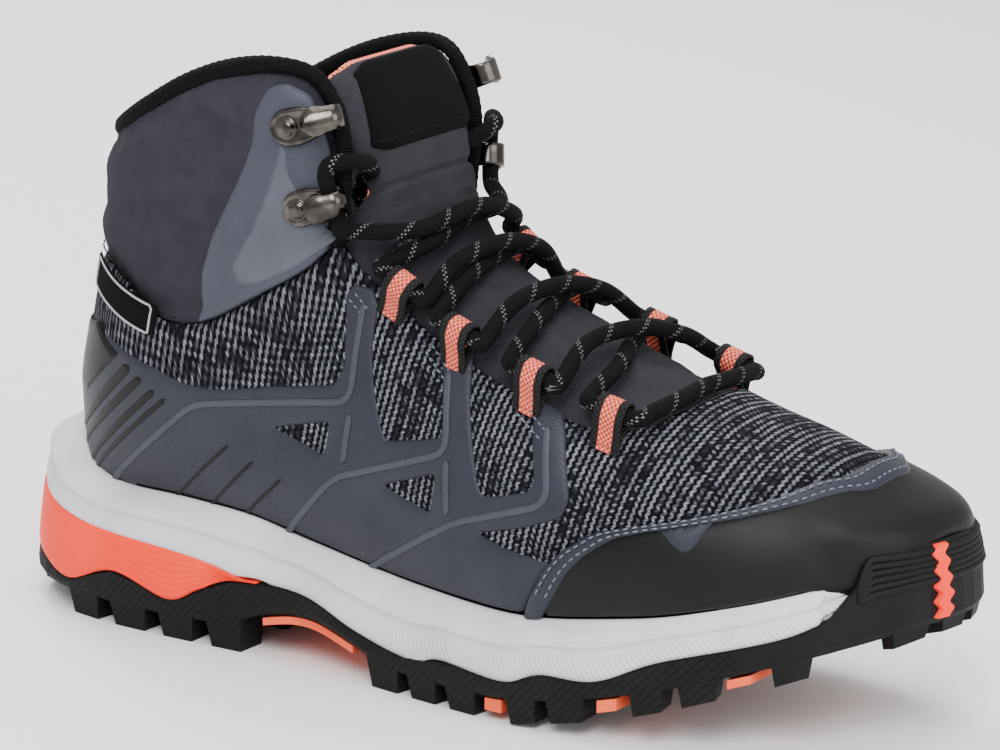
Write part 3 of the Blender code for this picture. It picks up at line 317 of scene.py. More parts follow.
def off_toe(p):
    """Degrees round the toe's centre from the way the toe points."""
    return np.abs(np.degrees(np.arctan2(p[:, 1] - TOE_CENTRE[1], p[:, 0] - TOE_CENTRE[0])) - TOE_TURN)


def bumper(t=RING_T):
    """0..1: how far the outsole's wall has risen into the toe bumper."""
    p = curve_through(SOLE_OUTLINE, t, True)
    rise = np.clip((44 - off_toe(p)) / 9, 0, 1)
    return rise * rise * (3 - 2 * rise)


def wall_top(t=RING_T):
    edge = outline_ring(0, OUTSOLE_EDGE, t)[:, 2]
    return edge + (BUMPER_TOP - edge) * bumper(t)


def heel_lean(t=RING_T):
    """Inset of the sole's upper rim at the back, where the wall leans in over the heel."""
    p = curve_through(SOLE_OUTLINE, t, True)
    return 7.5 * np.clip((34 - p[:, 0]) / 46, 0, 1) ** 1.5


def t_at(x, medial_side=False):
    """The outline parameter where one side of the sole passes x."""
    t = np.linspace(0, 1, 2001)[:-1]
    p = curve_through(SOLE_OUTLINE, t, True)
    half = (t > 0.5) if medial_side else (t <= 0.5)
    return t[half][np.argmin(np.abs(p[half, 0] - x))]


def wall_inset(z, t=RING_T):
    """How far the sole's side wall leans in at height z: at the heel, and at the top of the bumper."""
    return heel_lean(t) * np.clip((z - 10) / 46, 0, 1) + bumper(t) * np.clip(z - 46, 0, None) * 0.22


def wall_ring(inset, z, t=RING_T):
    return outline_ring(inset + wall_inset(z, t), z, t)


def plate_z(t=RING_T, above=0.0):
    return outline_ring(0, PLATE_BOTTOM, t)[:, 2] + above


def loft(rings, mirror=None):
    """(points, faces) of equal rings joined in order, with the end rings filled."""
    n = len(rings[0])
    faces = []
    for a in range(0, (len(rings) - 1) * n, n):
        for i in range(n):
            j = (i + 1) % n
            faces.append((a + i, a + j, a + n + j, a + n + i))
    ends = [tuple(range(n))] if mirror is None else ladder(n, mirror)
    faces += [f[::-1] for f in ends]
    faces += [tuple(i + (len(rings) - 1) * n for i in f) for f in ends]
    return np.vstack(rings), faces


def ladder(n, mirror):
    """Faces that fill a long ring crosswise, each point joined to its partner on the other side."""
    faces = []
    for k in range(n):
        a, b, c, d = k, (k + 1) % n, (mirror - k - 1) % n, (mirror - k) % n
        corners = list(dict.fromkeys((a, b, c, d)))
        if len(corners) > 2 and min(a, b) <= min(c, d) and (a, b) < (d, c):
            faces.append(tuple(corners))
    return faces


def floor_z(x):
    """The underside of the foot space along the length."""
    far = np.array([(s[0], s[1]) for s in SECTIONS[:13]])[::-1]
    return np.interp(x, far[:, 0], far[:, 1])


# ==== outlines of the upper ======================================================================
def station(k):
    """U of a section, counted from the toe tip; halves lie between sections."""
    return float(np.interp(k, np.linspace(0, len(SECTIONS) - 1, len(FORM.u)), FORM.u))


def mirrored(points):
    return [(u, -c) for u, c in points]


SIDES = ((-1, "lateral"), (1, "medial"))


def on_side(points, side):
    """Lateral (U, C) points, or their mirror image on the medial side."""
    return points if side < 0 else mirrored(points)


def bottom_edge(above, x_from, x_to, n):
    """The lateral (U, C) line at a height above the featherline."""
    xs = np.linspace(x_from, x_to, n)
    return [FORM.side_view(x, float(along(FEATHER, x)) + above) for x in xs]


MEDIAL_DROP = 7.0  # in U; about 6 mm of height
COLLAR = [
    (station(16.62), -110), (station(16.64), -98), (station(16.72), -84), (station(16.92), -70),
    (station(17.15), -56), (station(17.22), -44), (station(17.15), -35), (station(16.9), -28.5),
    (station(16.4), -24.5), (station(15.6), -22.5),
]
THROAT = [
    (station(15.6), -22.5), (station(14.5), -22), (station(13.2), -22), (station(12.2), -22.5),
    (station(11.2), -23.5), (station(10.2), -24.5), (station(9.2), -26), (station(8.2), -27),
    (station(7.2), -28), (station(6.4), -28), (station(5.95), -26), (station(5.6), -20),
    (station(5.42), -10), (station(5.38), 0),
]
CUFF_SEAM = lateral((22, 117), (34, 109), (48, 100.5), (60, 96.5), (74, 99), (92, 109), (108, 118.5))
CUFF_SEAM += [(station(12.25), -25.5), (station(11.95), -22.6)]


def shifted(points, du=0.0, dc=0.0):
    return [(u + du, c + dc) for u, c in points]


def smooth_line(points, n):
    return [tuple(p) for p in curve_through(points, np.linspace(0, 1, n))]


def around_back(low, front, top):
    """A closed outline that wraps the heel: lateral lines, back to front, and their mirror images."""
    lateral_side = [(u, c + 2 * ROUND) for u, c in low + front + top]
    medial_side = [(u, -c) for u, c in low + front + top]
    return medial_side[::-1] + lateral_side[1:-1]


def smooth_step(value, low, high):
    """0 at low, 1 at high, smooth between."""
    t = np.clip((value - low) / (high - low), 0, 1)
    return t * t * (3 - 2 * t)


def dropped(points):
    """The outline with its medial rim MEDIAL_DROP lower, fading out at the heel and the throat."""
    out = []
    for u, c in points:
        if 0 < c < ROUND:
            share = smooth_step(c, 0, 20) * smooth_step(ROUND - c, 0, 50)
            u = u - MEDIAL_DROP * share * smooth_step(u, station(14.5), station(16.3))
        out.append((u, c))
    return out


throat_low = [p for p in THROAT if p[0] < station(11.9)]
seam = smooth_line([(station(15.1), -110)] + CUFF_SEAM[1:], 18)
BASE_X = np.linspace(287, 15, 25)
BASE = [(max(u, 1.2), c) for u, c in bottom_edge(1.5, 287, 15, 25)]
knit_half = BASE[:]
knit_half += [(station(12.6), -109.6)] + [(u - 0.4, max(c, -109.6)) for u, c in seam] + throat_low
cuff_top = [(u - 3.75 / (0.66 - 0.42 * c / ROUND), c) for u, c in COLLAR[::-1]]
cuff_top = [(u, c - 2.4 if c > -40 else c) for u, c in cuff_top]
cuff_front = [(u, c - 2.4) for u, c in THROAT[::-1] if station(12.3) < u < station(15.2)]
cuff_low = [(u + 0.4, c) for u, c in seam if c < -25.2]
inner_top = [(u, min(c, -43)) for u, c in cuff_top if c < -38]
lining_low = [(station(12.55), -110)] + lateral((24, 42), (60, 41), (100, 39), (130, 38), (146, 52))
lining_front = [(station(k), -43) for k in (9.5, 10.5, 11.6, 13.5, 15.5, 16.6)]
lining_outline = dropped(around_back(lining_low, lining_front, inner_top))
CAGE = [
    (35, 88), (54, 82), (67, 78.5), (97, 82.5), (118, 86), (121.5, 92), (121, 104), (120, 112),
    (122, 115.5), (128, 114.5), (130.5, 110), (136, 76), (138, 73), (157, 77), (158.5, 80), (153.5, 103),
    (155, 106), (161, 103.5), (163.5, 98), (172.5, 66), (175, 63.5), (190, 67.5), (191.5, 70), (186, 88),
    (187, 91), (194, 88.5), (197, 84), (203, 67), (201.5, 62), (190, 57.5), (173, 53), (182, 50.5),
    (192, 49.5), (199, 48.5), (194.5, 42), (189, 32.5),
]
TRIANGLES = ([(96, 70), (117, 75), (115, 64.5)], [(137, 60), (157, 67), (155.5, 55)])
CAP_LINE = [
    (189.5, 31), (199.5, 48.5), (209, 56.5), (217, 60.5), (241, 66), (258, 70.5), (266, 74),
]


def cage_outline():
    base = [p for p, x in zip(BASE, BASE_X) if x < 186]
    heel = [(station(12.9), -109.6), (station(14.3), -109.6)]
    return base + heel + lateral(*CAGE)


cage = cage_outline()
triangles = [rounded(lateral(*t), 2.0) for t in TRIANGLES]
cap_line = lateral(*CAP_LINE) + [(station(2.82), -14), (station(2.78), 0)]
cap_line = smooth_line(cap_line, 18)
cap_half = [p for p, x in zip(BASE, BASE_X) if x > 192]
cap_half += shifted(cap_line, du=-1.0)[1:]
trim_high = shifted(cap_line, du=0.9)
panel_back = lateral(
    (97, 171), (93, 163), (92, 154), (88, 145), (83, 136), (77, 125), (73, 114), (73, 103)
)
panel_low = [p for p in cuff_low if p[1] > -58]
panel_top = [p for p in cuff_top[1:] if p[1] > -37]
panel = panel_low + cuff_front + panel_top + panel_back
HINGE = station(12.95)
TONGUE_TOP = station(16.72)
tongue_half = [(station(5.1), -12), (station(5.7), -26), (station(6.6), -36), (station(9), -37)]
tongue_half += [(station(11.2), -33), (station(12.2), -24)]
patch_half = [(up(HINGE, 9.5), -12), (up(HINGE, 12), -16), (station(15.2), -16.2)]
patch_half += [(up(TONGUE_TOP, -4), -15.5), (up(TONGUE_TOP, -1.2), -12)]
front_edge = [p for p in THROAT[1:] if p[0] > station(12.0)]
roll_half = smooth_line(COLLAR, 30) + smooth_line([COLLAR[-1]] + front_edge, 9)[1:]
roll = [(u, -c) for u, c in roll_half[::-1]] + [(u, c + 2 * ROUND) for u, c in roll_half[1:]]
roll = np.array(dropped(roll))
frontness = np.clip((47 - np.minimum(roll[:, 1], 2 * ROUND - roll[:, 1])) / 18, 0, 1)
# Each hook's rivet at x and z, and its rise in degrees.
HOOK_AT = {"upper": (105.5, 160.5, 14.0), "lower": (108.5, 137.5, 22.0)}
HOOK_BASE = 3.4  # centre of the base plate above the form
HOOK_BEND = 3.7
HOOK_REACH = 9.8


def local(u, c, side, run, height):
    """A point run mm from (u, c) towards the throat, height mm above the form."""
    per_mm = 0.1 / np.linalg.norm(FORM.at(u, c + 0.1) - FORM.at(u, c))
    return FORM.at(u, c - side * run * per_mm, height)[0]


def along_u(u, c):
    d = FORM.at(u + 1.0, c)[0] - FORM.at(u - 1.0, c)[0]
    return d / np.linalg.norm(d)


hook_holds = {}  # where the middle of a lace lies in each hook
LOOP_U = [FORM.side_view(x, z)[0] for x, z in ((209, 87), (184, 95), (159, 104.5), (138, 115))]
LOOP_AT_C = [24.5, 24.0, 23.0, 21.5]
LACE_AT_LOOP = 6.4
TAIL_OFFSET = -13.0
TAIL_TOE_END = station(6.9)
LACE_TUCK = ((12.5, 23.5, 7.2), (9.5, 18.8, 5.2), (6, 16.4, -1.5), (4, 16.4, -7.5), (1, 16.4, -10.8))


def held(centre, run, toward, straight, reach):
    """Points of a lace that runs straight through a loop or hook and turns to one side at both ends."""
    bends = ((-reach, 0.9), (-straight, 0.0), (0.0, 0.0), (straight, 0.0), (reach, 0.9))
    return [centre + run * d + toward * a for d, a in bends]


def lace_route(side):
    """Points of half of the lacing, from the middle of the bottom bar to the tucked end."""
    route = []

    def through(*spots):
        for u, c, height in spots:
            route.append(FORM.at(u, c, height)[0])

    bar = LOOP_U[0] - 12
    through((bar, side * 0.2, 1.4), (bar, side * 12, 2.4), (bar + 2.5, side * 21, 5.0))
    here = side
    for k in range(4):
        u, c = LOOP_U[k], here * LOOP_AT_C[k]
        eye = local(u, c, here, 0.0, LACE_AT_LOOP)
        route.extend(held(eye, along_u(u, c), local(u, c, here, 1.0, LACE_AT_LOOP) - eye, 4.6, 8.4))
        middle = 6.9 if (side > 0) == (k % 2 == 0) else 1.2
        beside = (middle + LACE_AT_LOOP) / 2 - 0.6
        if k < 3:
            centre = (LOOP_U[k] + LOOP_U[k + 1]) / 2
            through((centre - 5, here * 12, beside), (centre, 0, middle), (centre + 5, -here * 12, beside))
            here = -here
    start = LOOP_U[3] + 5.5
    over = 0.8 if middle > 4 else 0.0
    through((up(start, 2.5), here * 12, beside), (up(start, 5), 0, middle + over))
    through((up(start, 8), -here * 13, beside + over))
    here = -here
    label = "medial" if here > 0 else "lateral"
    hold, run, ahead = hook_holds[f"hook_{label}_lower"]
    route.extend(held(hold - ahead * 0.2, run, ahead, 5.4, 9.0))
    for mm, c, height in LACE_TUCK:
        through((up(HINGE, mm), here * c, height))
    low, high = TAIL_TOE_END, up(HINGE, -9)
    middle = (low + high) / 2
    tail = [(up(HINGE, -4), 16.5), (middle, 16.5), (low, 16.5), (low - 3.5, 13.5)]
    tail += [(low, 10.5), (middle, 10.5), (high, 10.5), (up(high, 3.5), 7.5), (high, 4.5), (middle, 4.5)]
    through(*[(u, here * c, TAIL_OFFSET) for u, c in tail])
    return np.array(route)


def lay(route, n):
    """About n points along a smooth curve through the route: its own, and more where it bends."""
    per = 40
    fine = curve_through(route, np.linspace(0, 1, per * (len(route) - 1) + 1))
    step = np.linalg.norm(np.diff(fine, axis=0), axis=1)
    heading = np.diff(fine, axis=0) / step[:, None]
    turn = np.concatenate([[0], np.arccos(np.clip((heading[1:] * heading[:-1]).sum(axis=1), -1, 1))])
    weight = (step / 14.0 + turn / 0.5).reshape(-1, per)
    share = (n - len(route)) / weight.sum()
    out = [fine[0]]
    for k, part in enumerate(weight):
        pieces = 1 + int(part.sum() * share + 0.35)
        far = np.concatenate([[0], np.cumsum(part)])
        at = np.interp(np.linspace(0, far[-1], pieces + 1)[1:], far, np.arange(per + 1))
        line = fine[k * per : (k + 1) * per + 1]
        out += [[np.interp(a, np.arange(per + 1), line[:, m]) for m in range(3)] for a in at]
    return np.array(out)


tag = lateral((30.5, 112.7), (58, 101.7), (56, 92.2), (28.5, 103.2))


# ==== materials ==================================================================================
class Paint:
    """A material being built: makes nodes, joins them, and ends at the surface shader."""

    def __init__(self, name, colour=(0.5, 0.5, 0.5), roughness=0.6, metallic=0.0, **sockets):
        self.material = bpy.data.materials.new(name)
        self.material.use_nodes = True
        self.tree = self.material.node_tree
        self.shader = self.tree.nodes["Principled BSDF"]
        self.shader.inputs["Base Color"].default_value = (*linear(*colour), 1)
        self.shader.inputs["Roughness"].default_value = roughness
        self.shader.inputs["Metallic"].default_value = metallic
        self.shader.inputs["Specular IOR Level"].default_value = 0.18
        for key, value in sockets.items():
            self.shader.inputs[key.replace("_", " ")].default_value = value

    def node(self, kind, *inputs, out=0, **props):
        made = self.tree.nodes.new("ShaderNode" + kind)
        for key, value in props.items():
            setattr(made, key, value)
        for k, value in enumerate(inputs):
            self.put(made.inputs[k], value)
        return made.outputs[out]

    def put(self, socket, value):
        if value is None:
            return
        if isinstance(value, bpy.types.NodeSocket):
            self.tree.links.new(value, socket)
        else:
            socket.default_value = value

    def math(self, operation, a, b=None, c=None):
        return self.node("Math", a, b, c, operation=operation)

    def plus(self, a, b):
        return self.math("ADD", a, b)

    def minus(self, a, b):
        return self.math("SUBTRACT", a, b)

    def times(self, a, b):
        return self.math("MULTIPLY", a, b)

    def divided(self, a, b):
        return self.math("DIVIDE", a, b)

    def wave(self, value, length):
        """A sine of value that repeats every length."""
        return self.math("SINE", self.times(value, FULL_TURN / length))

    def in_mm(self, vector):
        """A vector in metres turned into millimetres."""
        return self.node("VectorMath", vector, (1000.0, 1000.0, 1000.0), operation="MULTIPLY")

    def uv(self):
        """Surface coordinates in millimetres: (x along, y across)."""
        uv = self.node("UVMap", uv_map="surface")
        parts = self.tree.nodes.new("ShaderNodeSeparateXYZ")
        self.put(parts.inputs[0], self.in_mm(uv))
        return parts.outputs[0], parts.outputs[1]

    def place(self):
        """The point in millimetres of the boot's own frame."""
        return self.in_mm(self.node("TexCoord", out=3))

    def noise(self, size, detail=2.0):
        """Soft noise with features about size millimetres across."""
        made = self.tree.nodes.new("ShaderNodeTexNoise")
        self.put(made.inputs["Vector"], self.place())
        made.inputs["Scale"].default_value = 1.0 / size
        made.inputs["Detail"].default_value = detail
        return made.outputs[0]

    def chance(self, x, y, seed=0.0):
        """A random value per whole-numbered cell (x, y)."""
        cell = self.node("CombineXYZ", x, y, seed)
        return self.node("TexWhiteNoise", cell, noise_dimensions="3D")

    def band(self, value, low, high):
        """0 below low, 1 above high, smooth between."""
        made = self.tree.nodes.new("ShaderNodeMapRange")
        made.interpolation_type = "SMOOTHSTEP"
        self.put(made.inputs["Value"], value)
        made.inputs["From Min"].default_value = low
        made.inputs["From Max"].default_value = high
        return made.outputs[0]

    def blend(self, amount, a, b):
        made = self.tree.nodes.new("ShaderNodeMix")
        made.data_type = "RGBA"
        self.put(made.inputs[0], amount)
        for socket, value in ((made.inputs[6], a), (made.inputs[7], b)):
            self.put(socket, (*linear(*value), 1) if isinstance(value, tuple) else value)
        return made.outputs[2]

    def finish(self, colour=None, height=None, relief=0.2, roughness=None):
        """Joins colour, a height in millimetres times relief, and roughness to the shader."""
        if colour is not None:
            self.put(self.shader.inputs["Base Color"], colour)
        if roughness is not None:
            self.put(self.shader.inputs["Roughness"], roughness)
        if height is not None:
            bump = self.tree.nodes.new("ShaderNodeBump")
            bump.inputs["Strength"].default_value = 1.0
            bump.inputs["Distance"].default_value = relief * 0.001
            self.put(bump.inputs["Height"], height)
            self.put(self.shader.inputs["Normal"], bump.outputs[0])
        return self.material


def knit_material():
    """Two-tone knit: pale zigzag yarns in columns over a near-black ground."""
    m = Paint("knit", (0.2, 0.2, 0.25), 0.92, Specular_IOR_Level=0.08)
    along, climb = m.uv()
    wander = m.math("MULTIPLY_ADD", m.noise(16.0), 1.6, -0.8)
    row = m.divided(climb, 1.9)
    saw = m.math("PINGPONG", row, 0.5)
    across = m.plus(m.divided(m.plus(along, wander), 2.2), m.times(saw, 0.5))
    column = m.math("FLOOR", across)
    part = m.math("FRACT", across)
    off = m.math("ABSOLUTE", m.minus(part, 0.5))
    yarn = m.band(off, 0.30, 0.16)
    stitch = m.math("FLOOR", m.divided(climb, 0.95))
    luck = m.chance(column, stitch)
    patch_luck = m.noise(11.0, 2.0)
    column_luck = m.chance(column, m.math("FLOOR", m.divided(climb, 17.0)), 3.0)
    mixed = m.plus(m.times(luck, 0.30), m.times(patch_luck, 0.55))
    light = m.band(m.plus(mixed, m.times(column_luck, 0.30)), 0.38, 0.66)
    tick = m.math("FRACT", m.divided(climb, 0.95))
    round_tick = m.math("SINE", m.times(tick, HALF_TURN))
    shown = m.times(m.times(yarn, light), m.math("MULTIPLY_ADD", round_tick, 0.45, 0.55))
    # painted shade: the ground is darkened further in the gaps between yarn columns, where the knit dips
    between = m.band(off, 0.34, 0.46)
    ground = m.blend(m.chance(column, stitch, 7.0), (0.050, 0.052, 0.066), (0.125, 0.129, 0.155))
    ground = m.blend(between, ground, (0.022, 0.022, 0.030))
    pale = m.blend(m.chance(column, stitch, 11.0), (0.31, 0.32, 0.355), (0.50, 0.505, 0.54))
    height = m.minus(m.times(yarn, m.math("MULTIPLY_ADD", round_tick, 0.6, 0.4)), between)
    return m.finish(m.blend(shown, ground, pale), height, 0.45)


def film_material(name, dark, pale):
    """Satin film welded over knit: faint grain, soft unevenness, and a little of the knit's ribs."""
    m = Paint(name, dark, 0.45, Specular_IOR_Level=0.2)
    u, c = m.uv()
    cloud = m.noise(14.0, 3.0)
    ribs = m.math("SINE", m.plus(m.times(u, 3.6), m.times(m.noise(5.0), 3.0)))
    weave = m.math("SINE", m.times(c, 5.2))
    grain = m.noise(0.5, 2.0)
    height = m.plus(m.times(m.times(ribs, weave), 0.30), m.times(grain, 0.5))
    colour = m.blend(m.band(cloud, 0.15, 0.85), dark, pale)
    rough = m.math("MULTIPLY_ADD", grain, 0.16, 0.36)
    return m.finish(colour, height, 0.10, rough)


def softshell_material(name, dark, pale, ribs=1.05):
    """Brushed stretch cloth with a fine cross rib and a heathered colour."""
    m = Paint(name, dark, 0.9, Specular_IOR_Level=0.1)
    u, c = m.uv()
    fine = m.math("SINE", m.plus(m.times(u, FULL_TURN / ribs), m.noise(3.0)))
    cross = m.wave(c, 0.8)
    weave = m.times(fine, cross)
    fuzz = m.noise(0.35, 3.0)
    mottled = m.plus(m.times(m.noise(6.0, 3.0), 0.5), m.times(fuzz, 0.5))
    colour = m.blend(m.band(mottled, 0.18, 0.82), dark, pale)
    height = m.plus(m.times(weave, 0.5), fuzz)
    return m.finish(colour, height, 0.16)


def moulded_material(name, dark, pale, roughness, grain=0.6, relief=0.12, size=20.0, diamonds=0.0):
    """Moulded rubber or foam: soft colour drift, a fine skin, and an optional diamond pattern with painted
    shade in its grooves.
    """
    m = Paint(name, dark, roughness, Specular_IOR_Level=0.2)
    drift = m.noise(size, 4.0)
    skin = m.noise(grain, 3.0)
    colour = m.blend(m.band(m.plus(drift, m.times(skin, 0.25)), 0.42, 0.78), dark, pale)
    rough = m.math("MULTIPLY_ADD", skin, 0.22, roughness - 0.11)
    if diamonds:
        parts = m.tree.nodes.new("ShaderNodeSeparateXYZ")
        m.put(parts.inputs[0], m.place())
        x, z = parts.outputs[0], parts.outputs[2]
        one = m.math("PINGPONG", m.plus(x, z), DIAMOND / 2)
        other = m.math("PINGPONG", m.minus(x, z), DIAMOND / 2)
        groove = m.math("MINIMUM", m.band(one, 0.0, 0.32), m.band(other, 0.0, 0.32))
        groove = m.math("MAXIMUM", groove, m.band(x, BUMPER_START, BUMPER_START + 4.0))
        skin = m.plus(m.times(skin, 0.4), m.times(groove, diamonds))
        # painted shade: the diamond grooves, where the relief sinks, are drawn at half the dark tone
        colour = m.blend(groove, tuple(0.5 * v for v in dark), colour)
    return m.finish(colour, skin, relief, rough)


def foam_material():
    """Pale moulded foam with fine slanting ribs on its lower wall, and faint scuffing."""
    m = Paint("midsole_foam", (0.82, 0.81, 0.83), 0.6, Specular_IOR_Level=0.35)
    along, level = m.uv()
    ribbed = m.times(m.band(level, 0.40, 0.36), m.band(along, 150.0, 190.0))
    ribbed = m.times(ribbed, m.band(along, WALL_LENGTH - 150.0, WALL_LENGTH - 190.0))
    rib = m.math("SINE", m.times(m.plus(along, m.times(level, 9.0)), 3.9))
    skin = m.noise(0.5, 3.0)
    drift = m.noise(22.0, 4.0)
    height = m.plus(m.times(m.times(rib, ribbed), 0.8), m.times(skin, 0.35))
    colour = m.blend(m.band(drift, 0.35, 0.75), (0.80, 0.79, 0.81), (0.745, 0.74, 0.765))
    return m.finish(colour, height, 0.14)


def braid_material():
    """Round braid: strands crossing over and under, two of them flecked with grey."""
    m = Paint("lace_braid", (0.1, 0.1, 0.1), 0.85, Specular_IOR_Level=0.1)
    along, turn = m.uv()
    around = m.times(turn, STRANDS)
    climb = m.times(along, STRANDS / LACE_TWIST)
    one = m.plus(around, climb)
    other = m.minus(around, climb)
    over = m.math("MODULO", m.plus(m.math("FLOOR", one), m.math("FLOOR", other)), 2.0)
    over = m.math("GREATER_THAN", m.math("ABSOLUTE", over), 0.5)
    strand = m.math("FLOORED_MODULO", m.math("FLOOR", one), STRANDS)
    flecked = m.times(m.math("LESS_THAN", strand, 2.0), over)
    edge_a = m.math("PINGPONG", one, 0.5)
    edge_b = m.math("PINGPONG", other, 0.5)
    # painted shade: the strands' edges, where they dip under each other, are darkened towards near black
    shade = m.math("MINIMUM", m.band(edge_a, 0.0, 0.28), m.band(edge_b, 0.0, 0.28))
    fibre = m.noise(0.25, 2.0)
    black = m.blend(fibre, (0.025, 0.025, 0.028), (0.085, 0.085, 0.09))
    grey = m.blend(fibre, (0.26, 0.26, 0.265), (0.52, 0.52, 0.52))
    cloth = m.blend(flecked, black, grey)
    colour = m.blend(shade, (0.03, 0.03, 0.03), cloth)
    return m.finish(colour, m.plus(shade, m.times(fibre, 0.4)), 0.22)


def webbing_material():
    """Loop tape: a coral woven middle between black edges."""
    m = Paint("loop_webbing", (0.9, 0.5, 0.45), 0.85)
    along, across = m.uv()
    warp = m.wave(across, 1.5)
    weft = m.wave(along, 1.7)
    check = m.times(warp, weft)
    coral = m.blend(m.band(check, -0.5, 0.5), (0.66, 0.22, 0.165), (0.95, 0.50, 0.42))
    black = m.blend(m.band(check, -0.5, 0.5), (0.05, 0.05, 0.05), (0.13, 0.13, 0.13))
    middle = m.band(m.math("ABSOLUTE", across), 2.35, 2.15)
    return m.finish(m.blend(middle, black, coral), check, 0.25)


def woven_material(name, dark, pale, pitch=0.7):
    m = Paint(name, dark, 0.85, Specular_IOR_Level=0.08)
    u, c = m.uv()
    a = m.wave(u, pitch)
    b = m.wave(c, pitch)
    check = m.times(a, b)
    fuzz = m.noise(0.4, 3.0)
    colour = m.blend(m.band(m.plus(m.times(check, 0.3), fuzz), 0.3, 0.75), dark, pale)
    return m.finish(colour, m.plus(check, fuzz), 0.14)


def metal_material():
    """Dark nickel plate: brushed, with small pits and smears of dullness."""
    m = Paint("hook_nickel", (0.44, 0.41, 0.39), 0.22, 1.0)
    smear = m.noise(5.0, 2.0)
    pits = m.noise(0.3, 3.0)
    colour = m.blend(m.band(smear, 0.35, 0.7), (0.24, 0.225, 0.215), (0.37, 0.35, 0.33))
    rough = m.math("MULTIPLY_ADD", smear, 0.10, 0.14)
    return m.finish(colour, pits, 0.012, rough)


def lining_material(name, dark, pale):
    """Open mesh lining: small holes with painted shade in them, in a soft ground."""
    m = Paint(name, dark, 0.95)
    u, c = m.uv()
    a = m.math("PINGPONG", m.divided(u, 1.9), 0.5)
    b = m.math("PINGPONG", m.plus(m.divided(c, 1.9), m.times(a, 0.6)), 0.5)
    hole = m.times(m.band(a, 0.22, 0.36), m.band(b, 0.22, 0.36))
    fuzz = m.noise(0.5, 3.0)
    body = m.blend(fuzz, pale, dark)
    # painted shade: the holes are drawn at 0.35 of the cloth's dark tone
    colour = m.blend(hole, body, tuple(0.35 * v for v in dark))
    return m.finish(colour, m.minus(fuzz, hole), 0.3)


FULL_TURN = 6.2832  # radians
HALF_TURN = 3.14159
STRANDS = 14.0  # of the lace's braid
WALL_LENGTH = 700.0  # mm round the sole's side wall
DIAMOND = 2.6  # mm between the lines of the tread's diamond pattern
BUMPER_START = 104.0  # mm ahead of the boot's middle, where the toe bumper takes over from the tread
LACE_TWIST = 13.0  # mm of lace for one turn of a strand

KNIT = knit_material()
SLATE = film_material("film_slate", (0.132, 0.138, 0.174), (0.162, 0.168, 0.206))
PALE_FILM = film_material("film_pale", (0.265, 0.278, 0.315), (0.305, 0.318, 0.355))
PANEL_FILM = film_material("film_panel", (0.205, 0.216, 0.256), (0.240, 0.251, 0.292))
LINE_FILM = film_material("film_line", (0.200, 0.210, 0.245), (0.230, 0.240, 0.275))
PRINT_FILM = film_material("film_print", (0.020, 0.020, 0.025), (0.038, 0.038, 0.045))
SOFTSHELL = softshell_material("softshell", (0.160, 0.157, 0.190), (0.215, 0.210, 0.245))
TONGUE_CLOTH = softshell_material("tongue_cloth", (0.150, 0.146, 0.170), (0.200, 0.195, 0.220), 0.9)
BINDING = woven_material("binding_knit", (0.022, 0.022, 0.024), (0.065, 0.065, 0.07), 0.9)
LABEL = woven_material("label_weave", (0.030, 0.030, 0.032), (0.070, 0.070, 0.072), 0.55)
LABEL_EDGE = woven_material("label_edge", (0.62, 0.62, 0.64), (0.78, 0.78, 0.79), 0.5)
CAP = moulded_material("toe_cap_skin", (0.018, 0.018, 0.021), (0.036, 0.036, 0.039), 0.48, 0.35,
                       0.05, 30.0)
RUBBER = moulded_material("outsole_rubber", (0.026, 0.026, 0.030), (0.055, 0.055, 0.060), 0.70, 0.7,
                          0.30, diamonds=1.0)
CORAL = moulded_material("coral_rubber", (0.99, 0.235, 0.125), (0.95, 0.20, 0.10), 0.55, 0.5, 0.08)
CORAL_SOLE = moulded_material("coral_tread", (0.94, 0.38, 0.24), (0.88, 0.32, 0.19), 0.62, 0.5, 0.12)
FOAM = foam_material()
BRAID = braid_material()
WEBBING = webbing_material()
METAL = metal_material()
LINING = lining_material("lining_mesh", (0.16, 0.16, 0.175), (0.28, 0.28, 0.30))
CORAL_LINING = lining_material("coral_mesh", (0.88, 0.40, 0.31), (0.98, 0.58, 0.47))
BOARD = moulded_material("fibre_board", (0.62, 0.58, 0.50), (0.70, 0.66, 0.58), 0.9, 0.8, 0.2)
PADDING = moulded_material("padding_foam", (0.30, 0.30, 0.31), (0.38, 0.38, 0.39), 0.95, 0.8, 0.4)
AGLET = moulded_material("aglet_sleeve", (0.03, 0.03, 0.032), (0.07, 0.07, 0.072), 0.22, 0.9, 0.02)
THREAD = woven_material("thread_slate", (0.33, 0.35, 0.40), (0.46, 0.48, 0.53), 0.6)
THREAD_DARK = woven_material("thread_dark", (0.05, 0.05, 0.055), (0.13, 0.13, 0.14), 0.6)
SOCK = softshell_material("footbed_cloth", (0.17, 0.17, 0.18), (0.24, 0.24, 0.25))


